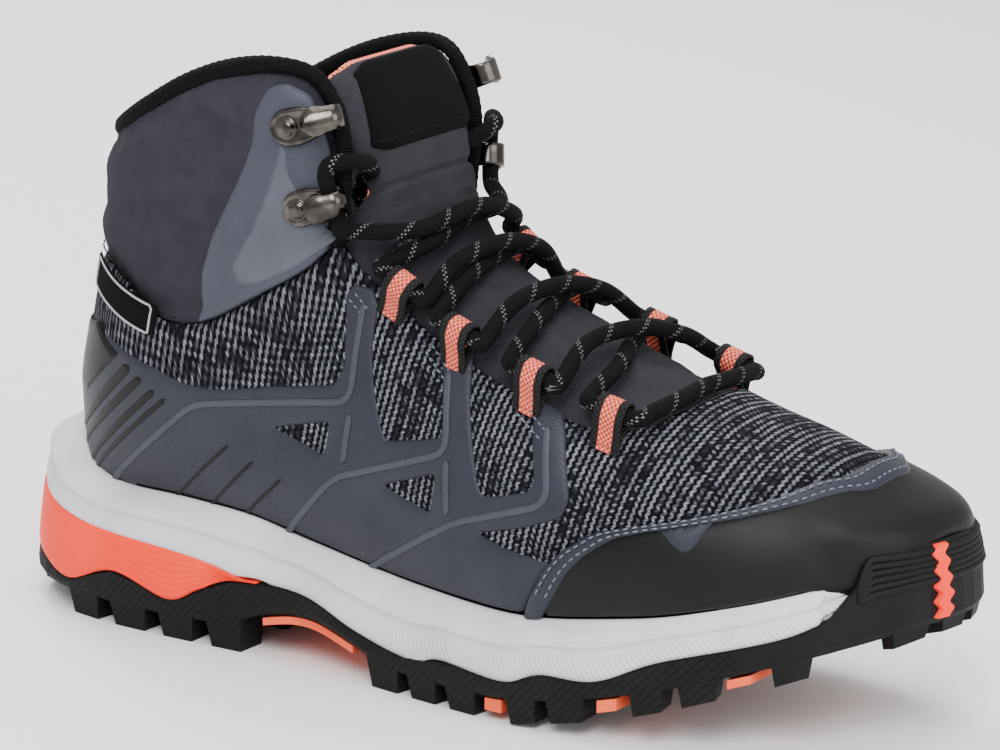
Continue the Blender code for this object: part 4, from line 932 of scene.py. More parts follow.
# ==== meshes =====================================================================================
def add(name, points, faces, look, uv=None, smooth=True):
    """A mesh object from points in table millimetres; uv is in millimetres too."""
    mesh = bpy.data.meshes.new(name)
    p = (np.asarray(points, float) - ORIGIN) * MM
    mesh.from_pydata(p.tolist(), [], [tuple(int(i) for i in f) for f in faces])
    mesh.polygons.foreach_set("use_smooth", [smooth] * len(mesh.polygons))
    if uv is not None:
        layer = mesh.uv_layers.new(name="surface")
        corner = np.zeros(len(mesh.loops), int)
        mesh.loops.foreach_get("vertex_index", corner)
        layer.data.foreach_set("uv", (np.asarray(uv, float)[corner] * 0.001).ravel())
    shaped = bmesh.new()
    shaped.from_mesh(mesh)
    bmesh.ops.recalc_face_normals(shaped, faces=shaped.faces[:])
    shaped.to_mesh(mesh)
    shaped.free()
    obj = bpy.data.objects.new(name, mesh)
    for one in look if isinstance(look, (list, tuple)) else [look]:
        obj.data.materials.append(one)
    bpy.context.scene.collection.objects.link(obj)
    return obj


def c_scale(u):
    """Millimetres of the surface for one unit of C, taken half way round one side."""
    rows = np.linspace(0, FORM.u[-1], 60)
    one, other = (FORM.at(rows, np.full(60, c)) for c in (-36.0, -34.0))
    span = np.linalg.norm(one - other, axis=1) / 2
    return np.interp(u, rows, span)


def flatten(outline, step, holes=(), extra=()):
    """(points in (U, C), triangles, edge distances) of a sheet cut to an outline."""
    loops = [divided(outline, step)] + [divided(h, step) for h in holes]
    lo, hi = loops[0].min(axis=0), loops[0].max(axis=0)
    rows = np.arange(int(lo[0] / step / 0.87) - 1, int(hi[0] / step / 0.87) + 2)
    columns = np.arange(int(np.floor(lo[1] / step)) - 1, int(hi[1] / step) + 2)
    k, m = np.meshgrid(rows, columns, indexing="ij")
    inner = np.column_stack([(k * step * 0.87).ravel(), ((m + (k % 2) / 2) * step).ravel()])
    margin = step * 0.75 if extra else step * 0.45
    keep = inside(inner, loops[0])
    inner = inner[keep]
    far = edge_distance(inner, loops[0])
    for hole in loops[1:]:
        far = np.where(inside(inner, hole), -1.0, np.minimum(far, edge_distance(inner, hole)))
    inner = inner[far > margin + (max(extra) if extra else 0)]
    rings = []
    for inset in extra:
        for loop in loops:
            n = np.roll(loop, -1, axis=0) - np.roll(loop, 1, axis=0)
            n = np.column_stack([-n[:, 1], n[:, 0]]) / (np.linalg.norm(n, axis=1, keepdims=True) + 1e-9)
            for sign in (1, -1):
                q = loop + n * inset * sign
                ok = inside(q, loops[0])
                near = edge_distance(q, loops[0])
                for hole in loops[1:]:
                    ok &= ~inside(q, hole)
                    near = np.minimum(near, edge_distance(q, hole))
                rings.append(q[ok & (near > inset * 0.85)])
    verts = np.vstack(loops + rings + [inner])
    edges, start = [], 0
    for loop in loops:
        n = len(loop)
        edges += [(start + i, start + (i + 1) % n) for i in range(n)]
        start += n
    cut = delaunay_2d_cdt([Vector(v) for v in verts], edges, [], 0, 1e-5)
    flat = np.array([tuple(v) for v in cut[0]])
    tris = np.array([tuple(f) for f in cut[2]])
    centre = flat[tris].mean(axis=1)
    keep = inside(centre, loops[0])
    for hole in loops[1:]:
        keep &= ~inside(centre, hole)
    tris = tris[keep]
    used = np.unique(tris)
    index = np.full(len(flat), -1)
    index[used] = np.arange(len(used))
    flat, tris = flat[used], index[tris]
    distance = edge_distance(flat, loops[0])
    for hole in loops[1:]:
        distance = np.minimum(distance, edge_distance(flat, hole))
    return flat, tris, distance


flat_of = {}  # the (U, C) place of each vertex of a sheet's outer face


def sheet(name, outline, low, high, look, step=2.0, holes=(), extra=(), back=None, upright=False):
    """A fine sheet laid on the form; low and high are heights, or functions of (u, c, edge distance).

    Its surface coordinates follow U, or the boot's length where the cloth's columns stand upright.
    """
    flat, tris, distance = flatten(outline, step, holes, extra)
    n = len(flat)
    heights = []
    for level in (high, low):
        heights.append(level(flat[:, 0], flat[:, 1], distance) if callable(level) else level)
    points = np.vstack([FORM.at(flat[:, 0], flat[:, 1], h) for h in heights])
    sides = {}
    for a, b, c in tris:
        for e in ((a, b), (b, c), (c, a)):
            sides[e] = True
    rim = [e for e in sides if (e[1], e[0]) not in sides]
    faces = [tuple(t) for t in tris] + [(c + n, b + n, a + n) for a, b, c in tris]
    faces += [(b, a, a + n, b + n) for a, b in rim]
    width = c_scale(flat[:, 0])
    run = flat[:, 0]
    if upright:
        p = points[: len(flat)]
        run = p[:, 0] - 0.2 * p[:, 2] - smooth_step(p[:, 0], 46, 16) * (38 - np.abs(p[:, 1]))
    uv = np.column_stack([run, flat[:, 1] * width])
    obj = add(name, points, faces, look if back is None else [look, back], uv=np.vstack([uv, uv]))
    flat_of[name] = flat
    if back is not None:
        for face in obj.data.polygons:
            if min(face.vertices) >= n:
                face.material_index = 1
    return obj


def taper(low, high, width=1.2):
    """A top face that comes down to low at the sheet's edge."""
    return lambda u, c, d: low + (high - low) * np.sqrt(np.clip(d / width, 0.0, 1.0))


def joined(parts):
    """(points, faces) of many closed bits put together."""
    points, faces, base = [], [], 0
    for p, f in parts:
        points.append(p)
        faces += [tuple(i + base for i in face) for face in f]
        base += len(p)
    return np.vstack(points), faces


def round_ring(centre, e1, e2, radius, sides=6):
    a = np.linspace(0, 2 * np.pi, sides, endpoint=False)[:, None]
    return centre + radius * (np.cos(a) * e1 + np.sin(a) * e2)


def normals_at(line_uv):
    """(points, normals) of the form at a line of (u, c)."""
    line_uv = np.asarray(line_uv, float)
    p = FORM.at(line_uv[:, 0], line_uv[:, 1], 0.0)
    q = FORM.at(line_uv[:, 0], line_uv[:, 1], 1.0)
    return p, q - p


def resampled(points, step):
    """The polyline cut anew into equal steps."""
    p = np.asarray(points, float)
    far = travelled(p)
    n = max(2, int(round(far[-1] / step)) + 1)
    at = np.linspace(0, far[-1], n)
    return np.column_stack([np.interp(at, far, p[:, k]) for k in range(p.shape[1])])


def laid(line_uv, height, step=0.5):
    """(points, normals) of a line on the form, in equal steps of length, at a height above it."""
    fine = resampled(line_uv, 0.5)
    p, n = normals_at(fine)
    far = travelled(p)
    count = max(3, int(round(far[-1] / step)) + 1)
    at = np.linspace(0, far[-1], count)
    p = np.column_stack([np.interp(at, far, (p + n * height)[:, k]) for k in range(3)])
    n = np.column_stack([np.interp(at, far, n[:, k]) for k in range(3)])
    return p, unit(n)


def stitches(lines, height, length=2.3, gap=0.9, thick=0.34):
    """Closed bits for rows of thread stitches along (u, c) lines on the form."""
    bits = []
    for line in lines:
        p, n = laid(line, height, 0.25)
        per = int(round((length + gap) / 0.25))
        used = int(round(length / 0.25))
        for start in range(2, len(p) - used - 1, per):
            row, out = p[start : start + used + 1], n[start : start + used + 1]
            pick = np.linspace(0, used, 5).round().astype(int)
            row, out = row[pick], out[pick]
            across = np.cross(out, unit(np.gradient(row, axis=0)))
            sink = np.array([-0.5, 0.05, 0.18, 0.05, -0.5]) * thick * 1.6
            fat = np.array([0.55, 1, 1.08, 1, 0.55]) * thick
            rings = [round_ring(q + o * s, a, o, f, 6)
                     for q, o, a, s, f in zip(row, out, across, sink, fat)]
            bits.append(loft(rings))
    return joined(bits)


def ribbon(line_uv, width, low, high, ends=True, step=1.5, widths=None):
    """(points, faces, uv) of a narrow raised line welded along the form."""
    p, n = laid(line_uv, 0.0, step)
    ahead = unit(np.gradient(p, axis=0))
    across = np.cross(n, ahead)
    size = np.full(len(p), width / 2.0) if widths is None else np.interp(
        np.linspace(0, 1, len(p)), np.linspace(0, 1, len(widths)), np.asarray(widths) / 2.0)
    if ends:
        size[0] *= 0.3
        size[-1] *= 0.3
    profile = [(-1.0, low), (-0.98, high - 0.12), (-0.62, high), (0.0, high + 0.05), (0.62, high),
               (0.98, high - 0.12), (1.0, low)]
    rings = []
    for q, o, a, s in zip(p, n, across, size):
        rings.append(np.array([q + a * s * k + o * h for k, h in profile]))
    points, faces = loft(rings)
    far = travelled(p)
    uv = np.array([(f, k * s) for f, s in zip(far, size) for k, _ in profile])
    return points, faces, uv


def ribbons(name, lines, width, low, high, look, **more):
    made = [ribbon(line, width, low, high, **more) for line in lines]
    points, faces = joined([(p, f) for p, f, _ in made])
    return add(name, points, faces, look, uv=np.vstack([uv for _, _, uv in made]))


def both(lines):
    """Each (u, c) line and its mirror image."""
    return list(lines) + [mirrored(line) for line in lines]


def sweep(points, radius, sides, relief=None):
    """(rings, distances) of a round tube along points, with no twist; relief adds to the radius."""
    p = np.asarray(points, float)
    ahead = unit(np.gradient(p, axis=0))
    e1 = np.cross(ahead[0], (0.3, 0.2, 0.9))
    e1 /= np.linalg.norm(e1)
    far = travelled(p)
    turn = np.linspace(0, 2 * np.pi, sides, endpoint=False)
    radius = np.broadcast_to(radius, len(p))
    rings = []
    for k, q in enumerate(p):
        e1 = e1 - ahead[k] * (e1 @ ahead[k])
        e1 /= np.linalg.norm(e1)
        e2 = np.cross(ahead[k], e1)
        r = radius[k] + (relief(far[k], turn) if relief is not None else 0.0)
        r = np.broadcast_to(r, turn.shape)[:, None]
        rings.append(q + r * (np.cos(turn)[:, None] * e1 + np.sin(turn)[:, None] * e2))
    return rings, far


def swept(name, points, radius, sides, look, relief=None):
    """A round cord mesh with surface coordinates (distance along, turn)."""
    rings, far = sweep(points, radius, sides, relief=relief)
    n = len(rings)
    verts = np.vstack(rings)
    faces, uv_of = [], []
    for k in range(n - 1):
        for i in range(sides):
            j = (i + 1) % sides
            faces.append((k * sides + i, k * sides + j, (k + 1) * sides + j, (k + 1) * sides + i))
            uv_of.append(((far[k], i / sides), (far[k], (i + 1) / sides),
                          (far[k + 1], (i + 1) / sides), (far[k + 1], i / sides)))
    faces += [tuple(range(sides))[::-1], tuple((n - 1) * sides + i for i in range(sides))]
    uv_of += [tuple((0.0, 0.5) for _ in range(sides)), tuple((far[-1], 0.5) for _ in range(sides))]
    obj = add(name, verts, faces, look)
    mesh = obj.data
    layer = mesh.uv_layers.new(name="surface")
    lookup = {}
    for face, corners in zip(faces, uv_of):
        lookup[frozenset(face)] = dict(zip(face, corners))
    values = np.zeros((len(mesh.loops), 2))
    for face in mesh.polygons:
        corners = lookup[frozenset(face.vertices)]
        for loop in face.loop_indices:
            a, t = corners[mesh.loops[loop].vertex_index]
            values[loop] = (a * 0.001, t * 0.001)
    layer.data.foreach_set("uv", values.ravel())
    return obj


def piece(obj, nodes=(), body="root"):
    """Hides the CAD nodes that a finished piece replaces, and lets it ride a body."""
    if nodes:
        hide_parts(*nodes)
    if body:
        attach(obj, body)
    return obj


def repaint(look, *names):
    for name in names:
        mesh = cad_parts[name].data
        mesh.materials.clear()
        mesh.materials.append(look)
        for face in mesh.polygons:
            face.material_index = 0


# ==== sole unit ==================================================================================
FINE_T = np.linspace(0, 1, 420, endpoint=False)


def near_toe(t):
    one = np.maximum.reduce([bumper(t), bumper(t + 0.012), bumper(t - 0.012)])
    return smooth_step(one, 0.0, 0.08)


def form_tree():
    """The form as a mesh to aim at, closed around each loop."""
    rows, columns = FORM.grid.shape[:2]
    verts = [tuple(v) for v in FORM.grid.reshape(-1, 3)]
    quads = []
    for i in range(rows - 1):
        for j in range(columns):
            k = (j + 1) % columns
            quads.append((i * columns + j, i * columns + k, (i + 1) * columns + k, (i + 1) * columns + j))
    return BVHTree.FromPolygons(verts, quads)


FORM_TREE = form_tree()


def depth_to_form(z, t):
    """How far in from the sole's outline the form stands at height z, along the outline's normal."""
    rim, inner = outline_ring(0.0, 0.0, t), outline_ring(1.0, 0.0, t)
    depth = []
    for a, b, h in zip(rim, inner, np.broadcast_to(z, len(rim))):
        hit = FORM_TREE.ray_cast(Vector((a[0], a[1], h)), Vector(b - a), 40.0)
        depth.append(np.nan if hit[0] is None else hit[3])
    depth = np.array(depth)
    bad = np.isnan(depth)
    depth[bad] = np.interp(t[bad], t[~bad], depth[~bad])
    wide = np.concatenate([depth[-4:], depth, depth[:4]])
    return np.convolve(wide, np.ones(9) / 9, mode="valid")


toe = near_toe(FINE_T)
fine_x = outline_ring(0, 0.0, FINE_T)[:, 0]
fine_feather = outline_ring(5.0, FEATHER, FINE_T)[:, 2] + 0.4
fine_low = np.minimum(wall_top(FINE_T), fine_feather - 2.4)
heel_part = smooth_step(fine_x, 97, 90)
fine_shelf = fine_low + 0.5 + heel_part * np.clip(along(INSERT_TOP, fine_x) - fine_low - 0.5, 0.7, None)
face_at = 0.1 + 3.1 * toe

# Share of the wall's height, and how far the face stands in from the sole's outline
FOAM_PROFILE = (
    (0.00, 0.70), (0.02, 0.10), (0.06, -0.25), (0.14, -0.40), (0.24, -0.20), (0.34, 0.35), (0.42, 0.85),
    (0.50, 0.95), (0.555, 0.70), (0.59, 0.15), (0.62, -0.10), (0.645, 0.12), (0.67, 0.0), (0.74, -0.30),
    (0.82, -0.30), (0.89, 0.05), (0.94, 0.55), (0.98, 1.30), (1.00, 2.20),
)
foam_rings = [
    wall_ring(3.2, plate_z(FINE_T, PLATE + GAP), FINE_T),
    wall_ring(3.2, fine_low + GAP - 0.1, FINE_T),
    wall_ring(0.4 + 2.4 * heel_part + 2.8 * toe, fine_low + GAP, FINE_T),
    wall_ring(0.4 + 2.4 * heel_part + 2.8 * toe, fine_shelf, FINE_T),
]
foam_levels = [-0.3, -0.2, -0.15, -0.1]
touch = depth_to_form(fine_feather + 1.0, FINE_T)
for share, inset in FOAM_PROFILE:
    z = fine_shelf + (fine_feather - fine_shelf) * share
    lean = np.clip((share - 0.60) / 0.40, 0, 1) ** 1.5
    reach = np.maximum(touch - wall_inset(z, FINE_T) - 1.6, 2.0)
    foam_rings.append(wall_ring((face_at + inset) * (1 - lean) + reach * lean, z, FINE_T))
    foam_levels.append(share)
top = fine_feather + 0.5
foam_rings.append(wall_ring(touch - wall_inset(top, FINE_T) - 0.7, top, FINE_T))
foam_rings.append(wall_ring(touch - wall_inset(top, FINE_T) + 0.9, top - 0.4, FINE_T))
floor_level = floor_z(outline_ring(6.0, 0.0, FINE_T)[:, 0]) - 1.0
foam_rings.append(wall_ring(np.clip(touch + 1.0, 6.6, 16), floor_level, FINE_T))
foam_levels += [1.03, 1.06, 1.1]
run = travelled(outline_ring(0, 0.0, FINE_T))
foam_uv = np.vstack([np.column_stack([run, np.full(len(run), f)]) for f in foam_levels])
foam = add("midsole_foam", *loft(foam_rings, mirror=0), FOAM, uv=foam_uv)
piece(foam, ["midsole"])

band_t = np.linspace(t_at(91.5, True) - 1, t_at(91.5), 260)
band_x = outline_ring(0, 0.0, band_t)[:, 0]
band_low = wall_top(band_t) + 0.1
band_top = np.maximum(along(INSERT_TOP, band_x) + 0.3, band_low + 0.3)
ribbed = smooth_step(band_x, 20, 34)
rings = []
LEVELS = 29
for k, t in enumerate(band_t):
    one = band_t[k : k + 1]
    ring = []
    for share in np.linspace(0, 1, LEVELS):
        z = band_low[k] + (band_top[k] - band_low[k]) * share
        rib = 0.28 * ribbed[k] * np.cos(share * np.pi * 14) - 0.6 * (1 - (2 * share - 1) ** 6)
        ring.append(wall_ring(rib - 0.1, np.array([z]), one)[0])
    for z in (band_top[k], band_low[k]):
        ring.append(wall_ring(2.6, np.array([z]), one)[0])
    rings.append(np.array(ring))
insert = add("heel_insert_band", *loft(rings), CORAL)
piece(insert, ["heel_insert"])

stripe_t = t_at(296.9) + 0.003
levels = np.linspace(38.5, 58.6, 61)
swing = np.sin(levels * 2 * np.pi / 4.4)
rings = []
for z, s in zip(levels, swing):
    one = np.array([stripe_t + 0.0015 * s])
    ring = []
    for dt, inset in ((-0.0043, -0.2), (-0.0036, -1.4), (0.0036, -1.4), (0.0043, -0.2), (0.0043, 1.0),
                      (-0.0043, 1.0)):
        ring.append(wall_ring(inset, np.array([z]), one + dt)[0])
    rings.append(np.array(ring))
stripe = add("toe_stripe_wavy", *loft(rings), CORAL, smooth=False)
piece(stripe, ["toe_stripe"])

bits = []
for level in np.linspace(0.10, 0.93, 6):
    t = np.linspace(t_at(281) - 0.002, t_at(283, True) + 0.002, 90)
    edge = outline_ring(0, OUTSOLE_EDGE, t)[:, 2]
    z = edge + (BUMPER_TOP - 1.6 - edge) * level * bumper(t) + 0.2
    bits.append((wall_ring(0.15, z, t), smooth_step(bumper(t), 0.15, 0.6)))
ridge_parts = []
for line, size in bits:
    keep = size > 0.02
    made, _ = sweep(line[keep], 0.25 + 0.85 * size[keep], 8)
    ridge_parts.append(loft(made))
ridges = add("toe_bumper_ridges", *joined(ridge_parts), RUBBER)
piece(ridges)

repaint(RUBBER, "outsole")
repaint(CORAL_SOLE, "arch_plate", "forefoot_insert_1", "forefoot_insert_2", "forefoot_insert_3")
repaint(BOARD, "insole_board", "heel_counter", "toe_puff")
repaint(PADDING, "collar_foam")
repaint(SOCK, "footbed")
repaint(AGLET, "aglet_lateral", "aglet_medial")


# ==== upper ======================================================================================
def knit_top(u, c, d):
    return 0.02 - 0.9 * (1 - smooth_step(d, 0.0, 1.6)) + 0.10 * np.sin(u * 0.21) * np.sin(c * 0.17)


knit_outline = knit_half + mirrored(knit_half[:-1])[::-1]
knit = sheet("knit_upper_cloth", knit_outline, -1.5, knit_top, KNIT, step=2.2, upright=True)
piece(knit, ["knit_upper"])


SEAM_HELD = 2.4  # mm of cloth along every edge that its stitching holds still
STILL_MARGIN = 3.5  # mm round a welded area that are held with it
CLOTH = {
    "quality": 6, "mass": 0.15, "tension_stiffness": 12, "compression_stiffness": 6,
    "bending_stiffness": 0.3, "shrink_min": -0.03,
}


def puffed(obj, outline, edge, most, pressure=4.0, frames=20, still=()):
    """Lets the outer face of a padded piece swell as cloth, by no more than most mm.

    It is held along its edges, and wherever one of the still outlines is welded on top of it.
    """
    mesh = obj.data
    half = len(mesh.vertices) // 2
    rest = np.array([tuple(v.co) for v in mesh.vertices])
    uv_rest = flat_of[obj.name]
    held = edge_distance(uv_rest, divided(outline, 2.0)) < edge
    for area in still:
        for turn in (0, 2 * ROUND):
            ring = np.asarray(area, float) + (0, turn)
            held |= inside(uv_rest, ring) | (edge_distance(uv_rest, ring) < STILL_MARGIN)
    pins = [int(k) for k in np.nonzero(held)[0]] + list(range(half, 2 * half))
    group = obj.vertex_groups.new(name="held")
    group.add(pins, 1.0, "REPLACE")
    cloth = obj.modifiers.new("swell", "CLOTH")
    settings = cloth.settings
    for key, value in CLOTH.items():
        setattr(settings, key, value)
    settings.use_pressure = True
    settings.uniform_pressure_force = pressure
    settings.vertex_group_mass = "held"
    settings.effector_weights.gravity = 0.0
    cloth.collision_settings.use_collision = False
    cloth.collision_settings.use_self_collision = False
    cloth.point_cache.frame_start = 1
    cloth.point_cache.frame_end = frames
    scene = bpy.context.scene
    for k in range(1, frames + 1):
        scene.frame_set(k)
        bpy.context.view_layer.update()
    shown = obj.evaluated_get(bpy.context.evaluated_depsgraph_get()).to_mesh()
    moved = np.array([tuple(v.co) for v in shown.vertices]) - rest
    obj.modifiers.remove(cloth)
    obj.vertex_groups.remove(group)
    scene.frame_set(1)
    size = np.linalg.norm(moved, axis=1, keepdims=True) + 1e-12
    limit = most * MM
    moved *= limit * np.tanh(size / limit) / size
    mesh.vertices.foreach_set("co", (rest + moved).ravel())
    mesh.update()


def cuff_top_face(u, c, d):
    """Padding swells between the seams; two soft wrinkles run round above the heel."""
    swell = -1.2 + 2.4 * smooth_step(d, 0.0, 10.0)
    ripple = 0.22 * np.sin(u * 0.33 + 0.8 * np.sin(c * 0.06)) * smooth_step(d, 3.0, 10.0)
    return swell + ripple


high_top = [(u + 2.2 / (0.66 - 0.42 * c / ROUND), c + 1.6 * (c > -40)) for u, c in cuff_top]
high_top = smooth_line(high_top, 34)
wide_front = shifted(cuff_front, dc=1.6)
cuff_outline = dropped(around_back(cuff_low, wide_front, high_top[1:]))
cuff = sheet("cuff_padded", cuff_outline, -2.2, cuff_top_face, SOFTSHELL, step=2.2)
puffed(cuff, cuff_outline, SEAM_HELD, 1.0, still=[panel, dropped(mirrored(panel))])
piece(cuff, ["cuff"])


def lining_low_face(u, c, d):
    return -7.6 - 1.4 * smooth_step(d, 0.0, 9.0) * smooth_step(u, station(12.6), station(13.6))


lining_piece = sheet("collar_lining", lining_outline, lining_low_face, -6.7, LINING, step=3.0)
piece(lining_piece, ["lining"])

# ---- welded film overlays ----
for side, label in SIDES:
    holes = [rounded(on_side(t, side), 1.0, 4) for t in triangles]
    film = sheet(f"cage_film_{label}", rounded(on_side(cage, side), 1.6, 4), -0.1,
                 taper(0.05, 0.78, 1.3), SLATE, holes=holes, extra=(0.4, 1.1))
    piece(film, [f"cage_{label}"])

cap_outline = cap_half + mirrored(cap_half[:-1])[::-1]
PLAN = outline_ring(0, 0.0, np.linspace(0, 1, 240, endpoint=False))[:, :2]
FLUSH = 4.4  # how far inside the sole's outline the cap meets the bumper's top


def cap_push(u, c):
    """How the cap's skin is moved outwards and down around the toe, until it meets the bumper."""
    p = FORM.at(u, c, 0.0)
    out = FORM.at(u, c, 1.0) - p
    out[:, 2] = 0.0
    out /= np.linalg.norm(out, axis=1, keepdims=True) + 1e-9
    window = smooth_step(off_toe(p), 60, 40)
    short = np.clip(edge_distance(p[:, :2], PLAN) - FLUSH, 0, 12)
    push = out * (short * window * smooth_step(p[:, 2], 72, 58))[:, None]
    push[:, 2] -= 4.0 * window * smooth_step(p[:, 2], 63, 55)
    return push


cap = sheet("toe_cap_skin", cap_outline, -0.1, taper(0.1, 1.9, 2.2), CAP, step=2.2, extra=(0.5, 1.4))
push = cap_push(*flat_of["toe_cap_skin"].T) * MM
cap_points = np.array([tuple(v.co) for v in cap.data.vertices]) + np.vstack([push, push])
cap.data.vertices.foreach_set("co", cap_points.ravel())
piece(cap, ["toe_cap"])
trim_low = shifted(cap_line, du=-6.4)
trim_low[0] = FORM.side_view(195.0, float(along(FEATHER, 195.0)) + 1.0)
band = trim_high + mirrored(trim_high[:-1])[::-1] + mirrored(trim_low) + trim_low[:-1][::-1]
trim = sheet("toe_cap_trim_strip", rounded(band, 0.8, 3), 0.2, taper(1.3, 2.75, 1.0), SLATE, step=1.6,
             extra=(0.4,))
piece(trim, ["toe_cap_trim"])
NOTCH = ((232.5, 62.5), (237.5, 58.5), (240.5, 57.3), (243.0, 59.8), (246.0, 66.0))
for side, label in SIDES:
    outline = rounded(on_side(lateral(*NOTCH), side), 1.0, 4)
    notch = sheet(f"trim_notch_{label}", outline, 1.0, taper(1.95, 2.45, 0.7), SLATE, step=1.6)
    piece(notch)

PANEL_TOP = 2.05
for side, label in SIDES:
    outline = rounded(dropped(on_side(panel, side)), 2.0, 4)
    film = sheet(f"hook_panel_{label}", outline, -0.3, taper(0.9, PANEL_TOP, 1.6), PANEL_FILM,
                 extra=(0.5, 1.3))
    piece(film, [f"hook_facing_{label}"])
SHAPE = [
    (102.5, 157.5), (96.5, 139), (90.5, 127), (84, 117.5), (85.5, 112), (92, 112.5), (103, 118),
    (113.5, 125.5), (118, 129.5), (111, 136), (104.5, 146),
]
for side, label in SIDES:
    outline = rounded(on_side(lateral(*SHAPE), side), 3.0, 5)
    top_face = taper(PANEL_TOP + 0.03, PANEL_TOP + 0.25, 0.9)
    shape = sheet(f"hook_panel_shape_{label}", outline, 1.8, top_face, PALE_FILM)
    piece(shape)

PALE_LINES = [
    [(28, 40.5), (67.5, 73), (124.5, 82), (126, 110.5)],
    [(124.5, 78.5), (122.5, 64)],
    [(98, 37.5), (119, 59), (161, 73.5), (157, 95.5)],
    [(161, 71.5), (162, 56)],
    [(129, 33), (165, 54.5), (197, 65), (191.5, 85)],
]


def bent(points, radius=5.0):
    """A side-view line with its inner corners turned into short curves."""
    p = np.asarray(points, float)
    out = [p[0]]
    for a, b, c in zip(p[:-2], p[1:-1], p[2:]):
        s = b + (a - b) / np.linalg.norm(a - b) * radius
        e = b + (c - b) / np.linalg.norm(c - b) * radius
        for t in np.linspace(0, 1, 7):
            out.append((1 - t) ** 2 * s + 2 * t * (1 - t) * b + t**2 * e)
    out.append(p[-1])
    return resampled(out, 3.0)


pale_lines = both([lateral(*bent(line)) for line in PALE_LINES])
lines = ribbons("cage_pale_lines", pale_lines, 2.0, 0.5, 1.18, LINE_FILM)
piece(lines)

STRIPES = [
    ((44, 81), (15, 55.5), 3.2), ((48.5, 78), (14, 49.5), 2.6), ((53.5, 75), (15, 43), 2.2),
    ((57.5, 73), (16.5, 40), 1.6), ((79.5, 62), (52.5, 39), 1.0), ((88.5, 58.5), (68.5, 40.5), 1.0),
    ((99, 55), (83.5, 41.5), 1.0),
]
made = []
for a, b, width in STRIPES:
    line = lateral(*resampled([a, b], 3.0))
    for one in (line, mirrored(line)):
        made.append(ribbon(one, width, 0.55, 0.98, widths=(width, width, width * 0.8)))
points, faces = joined([(p, f) for p, f, _ in made])
piece(add("heel_stripes", points, faces, PRINT_FILM, uv=np.vstack([m[2] for m in made])))
for side, label in SIDES:
    corner = lateral((27.5, 91), (40, 84), (21, 68))
    corner += [(station(13.55), -109.4), (station(14.2), -109.4)]
    printed = sheet(f"heel_print_{label}", rounded(on_side(corner, side), 1.2, 4), 0.4,
                    taper(0.84, 1.0, 0.6), PRINT_FILM, step=1.6)
    piece(printed)

heel_line = [(station(k), ROUND) for k in np.linspace(12.75, 15.25, 12)]
heel_strip = ribbons("heel_seam_strip", [heel_line], 7.5, -0.6, 1.25, SLATE, ends=False)
piece(heel_strip)

# ---- stitching on the trim, the eyestays and the tongue ----
trim_rows = []
for du in (-1.0, -4.2):
    row = shifted(cap_line, du=du)
    trim_rows.append(smooth_line(row[1:] + mirrored(row[:-1])[::-1], 60))
piece(add("trim_stitching", *stitches(trim_rows, 2.82, 1.8, 0.9, 0.27), THREAD))

TABS = [((124.5, 115.5), (130, 110.5)), ((151, 104), (161, 96)), ((184, 92), (195, 85))]
tab_rows = []
for a, b in TABS:
    a, b = np.array(a), np.array(b)
    down = np.array([b[1] - a[1], a[0] - b[0]])
    down = down / np.linalg.norm(down)
    for gap in (3.0, 5.4):
        tab_rows.append(lateral(*resampled([a + down * gap, b + down * gap], 2.0)))
piece(add("eyestay_stitching", *stitches(both(tab_rows), 0.85, 1.6, 0.7, 0.3), THREAD))

cuff_rows = [[(u + 2.2, c) for u, c in smooth_line([p for p in cuff_low if -100 < p[1] < -60], 30)]]
piece(add("cuff_stitching", *stitches(both(cuff_rows), 0.35, 2.2, 1.0, 0.26), THREAD_DARK))

# ---- tongue: one padded piece that bends at the hinge ----
tongue_outline = [(station(5.0), 0)] + tongue_half
tongue_outline += [(up(HINGE, 0.0), -16.5), (up(HINGE, 8.5), -17.6), (up(HINGE, 13.0), -21.0)]
tongue_outline += [(station(15.5), -24.5), (up(TONGUE_TOP, -5.5), -24.0), (up(TONGUE_TOP, -2.6), -21.5)]
tongue_outline += [(TONGUE_TOP, -12)]
tongue_outline = tongue_outline + mirrored(tongue_outline[1:])[::-1]
HINGE_DIP = 0.9


def tongue_face(u, c, d):
    """The padded front: swollen between its edges, drawn in along the crease and the cross seam."""
    swell = -4.3 + 2.1 * np.sqrt(np.clip(d / 7.0, 0, 1))
    crease = HINGE_DIP * np.exp(-(((u - HINGE) / 2.6) ** 2))
    seams = 0.8 * np.exp(-(((u - TONGUE_SEAM) / 1.1) ** 2))
    return swell - crease - seams


def tongue_back(u, c, d):
    return -4.6 - 1.9 * np.sqrt(np.clip(d / 5.0, 0, 1))


TONGUE_SEAM = station(11.0)
tongue = sheet("tongue_padded", rounded(tongue_outline, 3.0, 5), tongue_back, tongue_face, TONGUE_CLOTH,
               step=2.0, back=CORAL_LINING)
puffed(tongue, rounded(tongue_outline, 3.0, 5), SEAM_HELD, 0.9)
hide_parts("tongue_lower", "tongue_top")
seam_rows = [[(TONGUE_SEAM + du, c) for c in np.linspace(-20, 20, 21)] for du in (-1.3, 1.3)]
piece(add("tongue_seam_stitching", *stitches(seam_rows, -2.1, 2.0, 0.9, 0.26), THREAD))
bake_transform(tongue)

